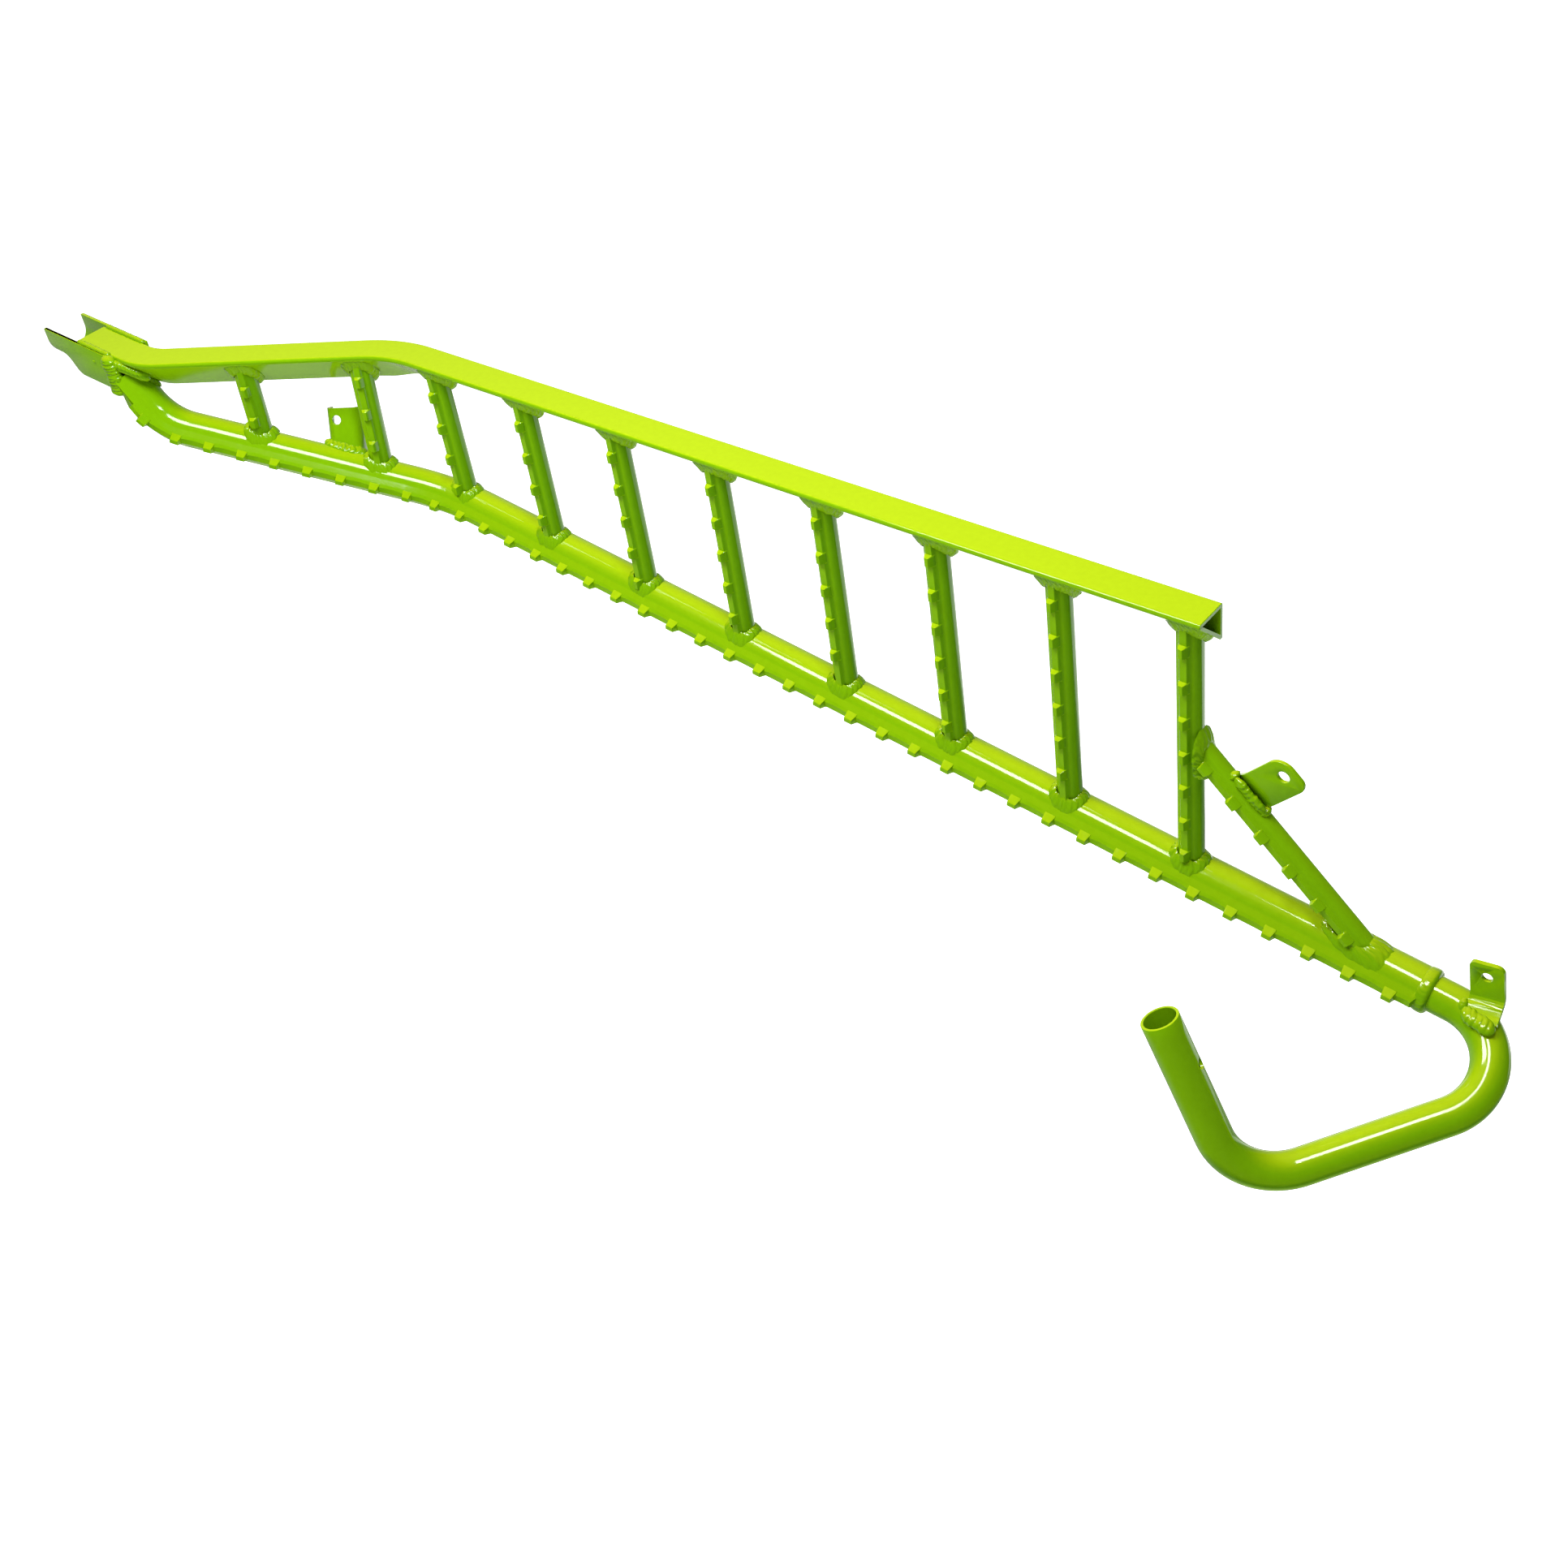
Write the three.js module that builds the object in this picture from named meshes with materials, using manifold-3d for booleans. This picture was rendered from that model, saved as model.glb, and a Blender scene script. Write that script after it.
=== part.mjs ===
// Side foot rail: a welded, powder-coated aluminium ladder of two long rails, ten serrated
// rungs and a diagonal brace, with a saddle at the rear end and a bent toe loop at the front.
// Millimetres. +X runs from the rear saddle to the front toe loop, +Z is the inboard side that
// carries the flat face of the inner rail, and the teeth point to -Y. Dimensions are worked out
// from the edge where that face meets the toothed side at the open front end; the group is then
// moved so that the origin is on the flat face, ORIGIN from there.
import * as THREE from "three";
import Module from "manifold-3d";

const wasm = await Module();
wasm.setup();

// ---- driving dimensions -------------------------------------------------------------------
const PAINT = 0x86b800;
const GAP = 0.3; // clearance left between neighbouring pieces
const PITCH = 25.4; // tooth spacing on every toothed bar

// inner rail, a hollow right triangle
const INNER_WIDTH = 24.4; // flat face, across
const INNER_HALF = INNER_WIDTH / 2;
const INNER_Y = 11.9; // centre line of the main stretch
const INNER_DEPTH = 26.3; // +Y face, down to the sharp corner before rounding
const INNER_DEPTH_REAR = 31; // the same in the kicked stretch
const INNER_DEPTH_BLEND = 24; // length in x over which the depth changes
const INNER_LIP = 3.0; // short upright lip under the toothed-side edge
const INNER_WALL = 2.3;
const INNER_CORNER_R = 1.5;
const INNER_BEND_R = 40;
const INNER_KICK_X = -650.9; // where the centre line starts to turn
const KICK = 30; // degrees the rear stretch turns towards the toothed side
const SADDLE_TURN = -3.5; // heading of the last stretch, degrees from the main stretch
const SADDLE_CORNER = [-816.8, -83.8]; // corner of the centre line before the last stretch, x and y
const SADDLE_RUN = 70.5; // length of the last stretch past that corner

// outer rail, a tube with a toothed rib
const OUTER_R = 13.3;
const OUTER_BORE_R = 11.4;
const OUTER_Y = 11.7; // tube centre
const OUTER_Z = -197.2; // tube centre at x = 0
const OUTER_SLOPE = -0.1285; // taper of the main stretch
const OUTER_FRONT = 141;
const OUTER_KICK_X = -628;
const OUTER_KICK = 26; // degrees
const OUTER_KICK_RISE = 0.314; // height gained per millimetre of x in the kicked stretch
const OUTER_TURN = [-821.2, -82.6, -57.5]; // where the tube turns up to the inner rail
const OUTER_TIP = [-844.5, -88, -19];
const OUTER_BEND_R = [50, 140]; // at OUTER_TURN and at the kick
const OUTER_PLUG = 26; // solid length at the rear end of the tube
const RIB_HALF = 2.4;
const RIB_FLOOR = 16.3; // rib height from the tube centre, between teeth
const RIB_TOOTH = { root: 15.8, tip: 20.5, rootSize: [8.2, 2 * RIB_HALF], tipSize: [5.6, 2.1] };
const RIB_TEETH = 40;
const RIB_TOOTH_FRONT = 123.4; // x of the front tooth

// rungs and brace, a flattened tube with a low toothed land
const RUNG_HALF = 8.0; // half width
const RUNG_HALF_DEPTH = 5.8;
const RUNG_CORNER_R = 5.1;
const RUNG_WALL = 1.9;
const RUNG_TOP_Z = -4;
const LAND_HALF = 2.6;
const LAND_FLOOR = 8.2;
const LAND_TOOTH = { root: 7.8, tip: 11.3, rootSize: [2 * LAND_HALF, 9.6], tipSize: [1.9, 6.2] };
// kicked rungs: foot and top in x and y, z of the first tooth, number of teeth
const KICKED_RUNGS = [
  { foot: [-755.1, -48.7], top: [-753.2, -47.4], firstTooth: -27.0, teeth: 2 },
  { foot: [-675.8, -10.2], top: [-676.2, -2.9], firstTooth: -22.5, teeth: 3 },
];
// straight rungs, rear to front: x, z of the first tooth, number of teeth
const STRAIGHT_RUNGS = [
  [-611.6, -26.2, 4], [-525.9, -25.7, 4], [-440.1, -25.1, 5], [-354.3, -24.2, 5],
  [-268.5, -22.3, 5], [-183.0, -21.0, 6], [-97.7, -23.4, 6], [-12.9, -24.6, 7],
];
const FRONT_RUNG_FACE = STRAIGHT_RUNGS.at(-1)[0] + RUNG_HALF; // x of its front side

// diagonal brace, from the front rung to the outer rail
const BRACE_POINT = [-11.3, -92.8]; // a point of its centre line, x and z
const BRACE_ANGLE = 44.2; // degrees below +X
const BRACE_FIRST_TOOTH = 16.3; // from that point, down the brace
const BRACE_TEETH = 5;

// tab on the brace; lines of a plate are [outward, towards its face side]
const BRACE_TAB_AT = 43.4; // centre, down the brace from its reference point
const BRACE_TAB = {
  line: [[8.0, -3.6], [12.4, -1.4], [15.0, -0.4], [17.4, 0], [47.5, 0]],
  thickness: 2.6,
  half: 12.2,
  cornerRadii: [10, 7], // on the + and - side of the width
  hole: { out: 37.6, radius: 4.0, segments: 20 },
};

// toe loop, a bent round tube
const LOOP_R = 11.1;
const LOOP_BORE_R = 9.1;
const LOOP_INSERT = 22; // length inside the outer rail
const LOOP_BEND_X = 155.6;
const LOOP_BEND_R = [36.5, 40.5];
const LOOP_DIRECTION_1 = [-0.6668, -0.7119, -0.2204]; // after the first bend
const LOOP_DIRECTION_2 = [-0.4138, 0.0151, 0.9102]; // after the second bend
const LOOP_RUN_1 = 83.2; // straight after the first bend
const LOOP_RUN_2 = 82.4; // straight after the second bend
const LOOP_BEND_STEP = 7; // degrees
const LOOP_HOLE_R = 3.5;
const LOOP_HOLE_BACK = 33.6; // hole centre, back from the free end
const LOOP_HOLE_ZERO = [0.5398, -0.5364, 0.6488]; // side of the tube the hole's angle starts from
const LOOP_HOLE_TURN = 57; // degrees round the tube from there

// tab on the toe loop
const LOOP_TAB_ORIGIN = [173.2, 14.2, -204.8];
const LOOP_TAB_ALONG = [0.9931, 0.06, 0.1]; // width direction
const LOOP_TAB_FACE = [0.06, -0.998, 0];
const LOOP_TAB = {
  line: [[-6.4, 12.5], [-3.0, 6.0], [-0.8, 2.0], [2.4, 0], [26, 0]],
  thickness: 2.6,
  half: 9.75,
  cornerRadii: [4.5, 3.5],
  hole: { out: 16.4, radius: 3.3, segments: 18 },
};

// clip bracket, a channel-shaped strap on the outer rail, open to +Y
const CLIP_X = -699.5;
const CLIP_LEAN = 25; // degrees it leans towards +Y
const CLIP_HALF = 11.2;
const CLIP_DEPTH = 12;
const CLIP_R = 6.5;
const CLIP_WALL = 2.2;
const CLIP_TOP = 43; // top edge, up from the tube's centre line
const CLIP_HOLE_R = 3.4;
const CLIP_HOLE_DOWN = 7.5;
const CLIP_HOLE_OFF = -4.0;

// rear saddle, an upright channel with a rounded floor
const SADDLE_HALF = 15.6; // half of the outside width
const SADDLE_SHEET = 2.5;
const SADDLE_WALL = 9.0; // straight part of the sides
const SADDLE_TOP = 0.2; // z of the upper edges
const SADDLE_REAR = -929;
const SADDLE_SKEW = 7; // the +Y side starts this much further forward
const SADDLE_FRONT = -848;
const SADDLE_TONGUE = 12; // the +Y side ends this much further forward
const EAR_X = -902; // behind this the toothed-side ear is not deeper than the channel
const EAR_Z = -28.5;

const ORIGIN = [-20, INNER_Y, 0]; // a point of the flat face, on its centre line

// ---- vectors and frames -------------------------------------------------------------------
const vec = (x, y, z) => new THREE.Vector3(x, y, z);
const UP = vec(0, 0, 1);
const radians = THREE.MathUtils.degToRad;
const cross = (first, second) => first.clone().cross(second);
const heading = (degrees) => vec(Math.cos(radians(degrees)), Math.sin(radians(degrees)), 0);
const range = (count, make) => Array.from({ length: count }, (_, i) => make(i));

// A frame is { origin, across, up, along }; a section lies across (x) and up (y).
const inFrame = ({ origin, across, up, along }, x, y, z = 0) =>
  origin.clone().addScaledVector(across, x).addScaledVector(up, y).addScaledVector(along, z);
const slide = (frame, distance) => ({ ...frame, origin: inFrame(frame, 0, 0, distance) });
// For a rail heading +X, `across` is level and points away from the teeth, `up` points up.
function frameAlong(origin, along) {
  const level = Math.abs(along.z) < 0.9 ? UP : vec(1, 0, 0);
  const across = cross(level, along).normalize();
  return { origin, across, up: cross(along, across).normalize(), along };
}
const WORLD = { origin: vec(0, 0, 0), across: vec(1, 0, 0), up: vec(0, 1, 0), along: UP };

// Points and directions along a polyline whose corners are rounded.
function roundPath(points, radii, stepDegrees = 5) {
  const direction = (from, to) => to.clone().sub(from).normalize();
  const last = points.length - 1;
  const path = [{ origin: points[0], along: direction(points[0], points[1]) }];
  for (let i = 1; i < last; i++) {
    const before = direction(points[i - 1], points[i]);
    const after = direction(points[i], points[i + 1]);
    const turn = before.angleTo(after);
    const radius = radii[i - 1];
    const inward = cross(cross(before, after).normalize(), before);
    const centre = points[i].clone()
      .addScaledVector(before, -radius * Math.tan(turn / 2))
      .addScaledVector(inward, radius);
    const steps = Math.max(2, Math.ceil(turn / radians(stepDegrees)));
    for (let k = 0; k <= steps; k++) {
      const cos = Math.cos((turn * k) / steps);
      const sin = Math.sin((turn * k) / steps);
      path.push({
        origin: centre.clone()
          .addScaledVector(inward, -radius * cos)
          .addScaledVector(before, radius * sin),
        along: before.clone().multiplyScalar(cos).addScaledVector(inward, sin),
      });
    }
  }
  path.push({ origin: points[last], along: direction(points[last - 1], points[last]) });
  return path;
}
const railPath = (points, radii) =>
  roundPath(points, radii).map(({ origin, along }) => frameAlong(origin, along));

// ---- outlines -----------------------------------------------------------------------------
const arc = ([x, y], radius, start, turn, segments) =>
  range(segments + 1, (i) => {
    const angle = start + (turn * i) / segments;
    return [x + radius * Math.cos(angle), y + radius * Math.sin(angle)];
  });
const circle = (radius, segments) =>
  arc([0, 0], radius, Math.PI / segments, 2 * Math.PI, segments).slice(0, -1);
const box = (x0, x1, y0, y1) => [[x0, y0], [x1, y0], [x1, y1], [x0, y1]];

// Corners given as [x, y, radius], each replaced by a short arc.
function rounded(corners, segments = 3) {
  return corners.flatMap(([x, y, radius], i) => {
    if (!radius) return [[x, y]];
    const toward = (other) => new THREE.Vector2(other[0] - x, other[1] - y).normalize();
    const back = toward(corners.at(i - 1));
    const ahead = toward(corners[(i + 1) % corners.length]);
    const half = Math.acos(back.dot(ahead)) / 2;
    const centre = back.clone().add(ahead).normalize().multiplyScalar(radius / Math.sin(half));
    const start = back.clone().multiplyScalar(radius / Math.tan(half)).sub(centre);
    const turn = Math.sign(ahead.cross(back)) * (Math.PI - 2 * half);
    const middle = [x + centre.x, y + centre.y];
    return arc(middle, radius, Math.atan2(start.y, start.x), turn, segments);
  });
}
const roundedBox = (half, top, bottom, radius, segments) =>
  rounded([
    [half, top, radius], [-half, top, radius], [-half, bottom, radius], [half, bottom, radius],
  ], segments);

// Every point moved to the right of the line's direction of travel.
function offsetLine(points, distance, closed) {
  const last = points.length - 1;
  return points.map(([x, y], i) => {
    const before = points[i > 0 ? i - 1 : closed ? last : 0];
    const after = points[i < last ? i + 1 : closed ? 0 : last];
    const travel = new THREE.Vector2(after[0] - before[0], after[1] - before[1]).normalize();
    return [x + travel.y * distance, y - travel.x * distance];
  });
}

// ---- solids -------------------------------------------------------------------------------
// Triangles closing a ring, counter-clockwise as the ring runs; indices count from `base`.
function capTriangles(ring, base) {
  const start = ring[0];
  const normal = vec(0, 0, 0);
  ring.forEach((point, i) => {
    const next = ring[(i + 1) % ring.length];
    normal.add(point.clone().sub(start).cross(next.clone().sub(start)));
  });
  normal.normalize();
  const axisX = ring[1].clone().sub(start);
  axisX.addScaledVector(normal, -axisX.dot(normal)).normalize();
  const axisY = cross(normal, axisX);
  const flat = ring.map((point) => {
    const offset = point.clone().sub(start);
    return new THREE.Vector2(offset.dot(axisX), offset.dot(axisY));
  });
  return THREE.ShapeUtils.triangulateShape(flat, []).map((face) => face.map((i) => base + i));
}
// A closed solid through rings of points, each ring counter-clockwise seen from the next one.
function loft(rings) {
  const count = rings[0].length;
  const triangles = [];
  for (let i = 0; i + 1 < rings.length; i++) {
    for (let j = 0; j < count; j++) {
      const here = i * count + j;
      const next = i * count + ((j + 1) % count);
      triangles.push(here, next, next + count, here, next + count, here + count);
    }
  }
  for (const face of capTriangles(rings[0], 0)) triangles.push(...face.reverse());
  const base = (rings.length - 1) * count;
  for (const face of capTriangles(rings.at(-1), base)) triangles.push(...face);
  return new wasm.Manifold(new wasm.Mesh({
    numProp: 3,
    vertProperties: new Float32Array(rings.flat().flatMap((point) => point.toArray())),
    triVerts: new Uint32Array(triangles),
  }));
}
const ringIn = (frame, outline, z = 0) => outline.map(([x, y]) => inFrame(frame, x, y, z));
const sweep = (outline, frames) => loft(frames.map((frame) => ringIn(frame, outline)));
const extrude = (outline, frame, from, to) =>
  loft([ringIn(frame, outline, from), ringIn(frame, outline, to)]);
// Round solid through [radius, distance] stations.
const turned = (frame, stations, segments) =>
  loft(stations.map(([radius, z]) => ringIn(frame, circle(radius, segments), z)));
const rod = (centre, direction, radius, halfLength, segments = 16) =>
  turned(frameAlong(centre, direction), [[radius, -halfLength], [radius, halfLength]], segments);

// What the cutters leave of a body, without loose slivers.
function carve(body, ...cutters) {
  const pieces = cutters.reduce((rest, cutter) => rest.subtract(cutter), body).decompose();
  return pieces.reduce((best, piece) => (piece.volume() > best.volume() ? piece : best));
}

// A straight weld bead with tapered ends.
function bead(from, to, radius, segments = 10) {
  const length = from.distanceTo(to);
  const stations = [
    [0.35, 0], [0.8, radius * 0.45], [1, radius * 1.1],
    [1, length - radius * 1.1], [0.8, length - radius * 0.45], [0.35, length],
  ].map(([scale, z]) => [radius * scale, z]);
  return turned(frameAlong(from, to.clone().sub(from).normalize()), stations, segments);
}

// A wedge rising along its frame from a root rectangle to a smaller tip rectangle.
function tooth(frame, { root, tip, rootSize, tipSize }, grow = 0) {
  const ring = ([width, length], z) => {
    const halfX = width / 2 + grow;
    const halfY = length / 2 + grow;
    return ringIn(frame, box(-halfX, halfX, -halfY, halfY), z);
  };
  return loft([ring(rootSize, root), ring(tipSize, tip + 2 * grow)]);
}

// A plate bent along a line of [x, y] points and extruded to both sides of its frame.
function plate(frame, line, thickness, half) {
  const outline = [
    ...offsetLine(line, thickness / 2, false),
    ...offsetLine(line, -thickness / 2, false).reverse(),
  ];
  const hand = Math.sign(cross(frame.across, frame.up).dot(frame.along));
  return extrude(outline, frame, -half * hand, half * hand);
}
// Cutter that rounds an outer corner of a plate; side is +1 or -1.
function cornerCutter({ origin, across, along }, end, half, side, radius) {
  const edge = side * half;
  const centre = [end - radius, edge - side * radius];
  const outline = [
    [end + 1, edge + side],
    [end - radius, edge + side],
    ...arc(centre, radius, (side * Math.PI) / 2, (-side * Math.PI) / 2, 6),
    [end + 1, edge - side * radius],
  ];
  if (side < 0) outline.reverse();
  return extrude(outline, { origin, across, up: along, along: cross(across, along) }, -30, 30);
}
function tabPlate(frame, { line, thickness, half, cornerRadii, hole }) {
  const end = line.at(-1)[0];
  return plate(frame, line, thickness, half)
    .subtract(cornerCutter(frame, end, half, 1, cornerRadii[0]))
    .subtract(cornerCutter(frame, end, half, -1, cornerRadii[1]))
    .subtract(rod(inFrame(frame, hole.out, 0), frame.up, hole.radius, 12, hole.segments));
}

// ---- inner rail ---------------------------------------------------------------------------
const kickedAlong = heading(KICK);
const saddleAlong = heading(SADDLE_TURN);
const saddleCorner = vec(...SADDLE_CORNER, 0);

// Height of the slanted face, x across from the middle of the flat face.
const slantAt = (x, depth) => -INNER_LIP - ((depth - INNER_LIP) * (x + INNER_HALF)) / INNER_WIDTH;
function innerSection(grow, depth) {
  const side = INNER_HALF + grow;
  const drop = grow * Math.hypot(1, (depth - INNER_LIP) / INNER_WIDTH);
  const radius = Math.max(0.3, INNER_CORNER_R + grow);
  return rounded([
    [-side, grow, radius],
    [-side, slantAt(-side, depth) - drop, radius],
    [side, slantAt(side, depth) - drop, radius],
    [side, grow, radius],
  ]);
}
function innerSweep(grow, extend) {
  const points = [
    saddleCorner.clone().addScaledVector(saddleAlong, -SADDLE_RUN - extend),
    saddleCorner,
    vec(INNER_KICK_X, INNER_Y, 0),
    vec(extend, INNER_Y, 0),
  ];
  return loft(railPath(points, [INNER_BEND_R, INNER_BEND_R]).map((frame) => {
    const past = (INNER_KICK_X + INNER_DEPTH_BLEND / 2 - frame.origin.x) / INNER_DEPTH_BLEND;
    const share = THREE.MathUtils.clamp(past, 0, 1);
    const depth = INNER_DEPTH + (INNER_DEPTH_REAR - INNER_DEPTH) * share;
    return ringIn(frame, innerSection(grow, depth));
  }));
}
const innerGrown = innerSweep(GAP, GAP);
const innerRail = carve(innerSweep(0, 0), innerSweep(-INNER_WALL, 5));

// ---- rear saddle --------------------------------------------------------------------------
const saddleFrame = (x) => {
  const distance = (x - saddleCorner.x) / saddleAlong.x;
  return frameAlong(saddleCorner.clone().addScaledVector(saddleAlong, distance), saddleAlong);
};
// Point beside the centre line of the last stretch at a given x.
const onSaddle = (x, side, z, shift = 0) => inFrame(saddleFrame(x), side, z, shift);

function channelSection(grow) {
  const outer = SADDLE_HALF + grow;
  const inner = SADDLE_HALF - SADDLE_SHEET - grow;
  const top = SADDLE_TOP + grow;
  return [
    [-outer, top],
    ...arc([0, -SADDLE_WALL], outer, Math.PI, Math.PI, 12),
    [outer, top],
    [inner, top],
    ...arc([0, -SADDLE_WALL], inner, 2 * Math.PI, -Math.PI, 12),
    [-inner, top],
  ];
}
function channel(grow) {
  const section = channelSection(grow);
  const skew = (x) => ((x + SADDLE_HALF) / (2 * SADDLE_HALF)) * SADDLE_SKEW;
  return loft([
    section.map(([x, y]) => onSaddle(SADDLE_REAR - grow, x, y, skew(x))),
    section.map(([x, y]) => onSaddle(SADDLE_FRONT + SADDLE_TONGUE + grow, x, y)),
  ]);
}
// The ear: a flat plate that continues the toothed-side wall down past the rounded floor.
function ear(grow, reach) {
  const rear = SADDLE_REAR - grow;
  const front = SADDLE_FRONT + grow;
  const bottom = EAR_Z - grow;
  const outline = [ // x, z
    [rear, SADDLE_TOP + grow], [rear, -8], [rear + 3, -13 - grow],
    [EAR_X - 6, -15.5 - grow], [EAR_X - 1, -18.5 - grow], [EAR_X + 3, -24.5 - grow],
    [EAR_X + 8, bottom + 0.6], [EAR_X + 14, bottom], [front, bottom], [front, SADDLE_TOP + grow],
  ];
  return loft([-SADDLE_HALF + SADDLE_SHEET + grow, -SADDLE_HALF - reach].map((side) =>
    outline.map(([x, z]) => onSaddle(x, side, z))));
}
// Leaves only the +Y side of the channel in front of SADDLE_FRONT.
const tongueCutter = extrude(
  box(-SADDLE_HALF - 2, SADDLE_HALF - SADDLE_SHEET - 0.6, -60, 5),
  saddleFrame(SADDLE_FRONT), 0, 40,
);
const saddleBody = (grow) => channel(grow).subtract(tongueCutter).add(ear(grow, grow));
const saddleGrown = saddleBody(GAP);
const earBlock = ear(GAP, 30); // everything the ear covers, out to well past it
const rearSaddle = carve(saddleBody(0), innerGrown);

// ---- outer rail ---------------------------------------------------------------------------
const mainAlong = vec(1, 0, OUTER_SLOPE).normalize();
const outerAt = (x) => vec(x, OUTER_Y, OUTER_Z + OUTER_SLOPE * x);
const outerKickAt = (x) => {
  const past = x - OUTER_KICK_X;
  const rise = vec(past, Math.tan(radians(OUTER_KICK)) * past, -OUTER_KICK_RISE * past);
  return outerAt(OUTER_KICK_X).add(rise);
};
const kickSlope = -OUTER_KICK_RISE * Math.cos(radians(OUTER_KICK)); // height per length along
const tubeTop = (y) => Math.sqrt(OUTER_R ** 2 - y ** 2);

// Tube with a rib towards -x of the section.
function ribSection(grow) {
  const reach = radians(150);
  const flank = [
    [-13.7 - grow, 3.6 + grow],
    [-15.2 - grow, RIB_HALF + 0.25 + grow],
    [-RIB_FLOOR - grow, RIB_HALF + grow],
  ];
  return [
    ...arc([0, 0], OUTER_R + grow, -reach, 2 * reach, 20),
    ...flank,
    ...flank.map(([x, y]) => [x, -y]).reverse(),
  ];
}
function outerPath(rearExtend, frontExtend = rearExtend) {
  const tip = vec(...OUTER_TIP);
  const turn = vec(...OUTER_TURN);
  const rise = tip.clone().sub(turn).normalize();
  const points = [
    tip.addScaledVector(rise, rearExtend),
    turn,
    outerAt(OUTER_KICK_X),
    outerAt(OUTER_FRONT + frontExtend),
  ];
  return railPath(points, OUTER_BEND_R);
}
const outerCentre = outerPath(0);
// Frame at a distance from the front end, measured along the rail.
function onOuter(distance) {
  let left = distance;
  let i = outerCentre.length - 1;
  const span = () => outerCentre[i].origin.distanceTo(outerCentre[i - 1].origin);
  while (left > span()) {
    left -= span();
    i--;
  }
  const front = outerCentre[i];
  const rear = outerCentre[i - 1];
  const share = left / span();
  return frameAlong(
    front.origin.clone().lerp(rear.origin, share),
    front.along.clone().lerp(rear.along, share).normalize(),
  );
}
function makeOuterRail() {
  let body = sweep(ribSection(0), outerCentre);
  const firstTooth = (OUTER_FRONT - RIB_TOOTH_FRONT) * Math.hypot(1, OUTER_SLOPE);
  for (let k = 0; k < RIB_TEETH; k++) {
    const { origin, across, up, along } = onOuter(firstTooth + PITCH * k);
    const frame = { origin, across: along, up, along: across.clone().negate() };
    body = body.add(tooth(frame, RIB_TOOTH));
  }
  const bore = sweep(circle(OUTER_BORE_R, 24), outerPath(-OUTER_PLUG, 8));
  return carve(body, bore, innerGrown, saddleGrown, earBlock);
}
const outerRail = makeOuterRail();
const outerGrown = sweep(ribSection(GAP), outerPath(GAP));

// ---- toothed bars -------------------------------------------------------------------------
// Flattened tube with a low land towards -y of the section.
function rungSection(grow) {
  const half = RUNG_HALF + grow;
  const depth = RUNG_HALF_DEPTH + grow;
  const radius = RUNG_CORNER_R + grow;
  const land = LAND_HALF + grow;
  const floor = -LAND_FLOOR - grow;
  const fillet = land + 1.0;
  // height where the land's fillet meets the rounded side
  const root = -(depth - radius) - Math.sqrt(radius ** 2 - (fillet - (half - radius)) ** 2);
  const outline = roundedBox(half, depth, -depth, radius, 4);
  // the two arc ends at the bottom give way to the land
  outline.splice(14, 2,
    [-fillet, root], [-land, -depth - 1.0], [-land, floor],
    [land, floor], [land, -depth - 1.0], [fillet, root]);
  return outline;
}
const rungBore = roundedBox(
  RUNG_HALF - RUNG_WALL, RUNG_HALF_DEPTH - RUNG_WALL, RUNG_WALL - RUNG_HALF_DEPTH,
  RUNG_CORNER_R - RUNG_WALL, 3,
);
// The bar's outline that its end welds follow, land included.
const weldOutline =
  roundedBox(RUNG_HALF, RUNG_HALF_DEPTH, -RUNG_HALF_DEPTH - 1.4, RUNG_CORNER_R, 3);

// Bar between two end frames; the bore and the keep-off solid run on to the long ends.
function makeBar(ends, longEnds, toothFrames) {
  const addTeeth = (bar, grow) => toothFrames.reduce((solid, frame) => {
    const { origin, across, up, along } = frame;
    const outward = { origin, across, up: along, along: up.clone().negate() };
    return solid.add(tooth(outward, LAND_TOOTH, grow));
  }, bar);
  return {
    body: addTeeth(sweep(rungSection(0), ends), 0).subtract(sweep(rungBore, longEnds)),
    keepOff: addTeeth(sweep(rungSection(GAP), longEnds), GAP),
  };
}
// Weld round a bar's end; stations are [spread, shift along the bar from the surface].
const collar = (stations, pointAt) =>
  loft(stations.map(([spread, shift]) =>
    offsetLine(weldOutline, spread, true).map(([x, y]) => pointAt(x, y, shift))));

// ---- rungs --------------------------------------------------------------------------------
const parts = {};

// Adds a rung with its two welds and returns the solid its neighbours keep off. `slope` is the
// outer rail's rise along `across`.
function addRung(name, { foot, top, across, slope, firstTooth, teeth }) {
  const along = top.clone().sub(foot).normalize();
  const up = cross(along, across).normalize();
  const frame = { origin: foot, across: cross(up, along).normalize(), up, along };
  const lengthTo = (z) => (z - foot.z) / along.z;
  const frameAt = (z) => slide(frame, lengthTo(z));
  const { body, keepOff } = makeBar(
    [frameAt(foot.z), frameAt(top.z)],
    [frameAt(foot.z - 5), frameAt(top.z + 5)],
    range(teeth, (k) => frameAt(firstTooth - PITCH * k)),
  );
  parts[name] = carve(body, innerGrown, outerGrown);

  const onSurface = (heightAt) => (x, y, shift) =>
    inFrame(frame, x, y, lengthTo(heightAt(x, y) + shift));
  const depth = top.x < INNER_KICK_X ? INNER_DEPTH_REAR : INNER_DEPTH;
  const topWeld = collar(
    [[0.8, -6.4], [1.9, -4.6], [3.6, -2.4], [5.2, -0.2], [5.2, 1.2]],
    onSurface((x, y) => slantAt(y, depth)),
  );
  const footWeld = collar(
    [[4.3, -1.8], [4.3, 0.4], [2.6, 3.6], [0.9, 5.2]],
    onSurface((x, y) => foot.z + slope * x + tubeTop(y)),
  );
  parts[`weld_${name}_top`] = carve(topWeld, innerGrown, keepOff);
  parts[`weld_${name}_foot`] = carve(footWeld, outerGrown, keepOff);
  return keepOff;
}

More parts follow.
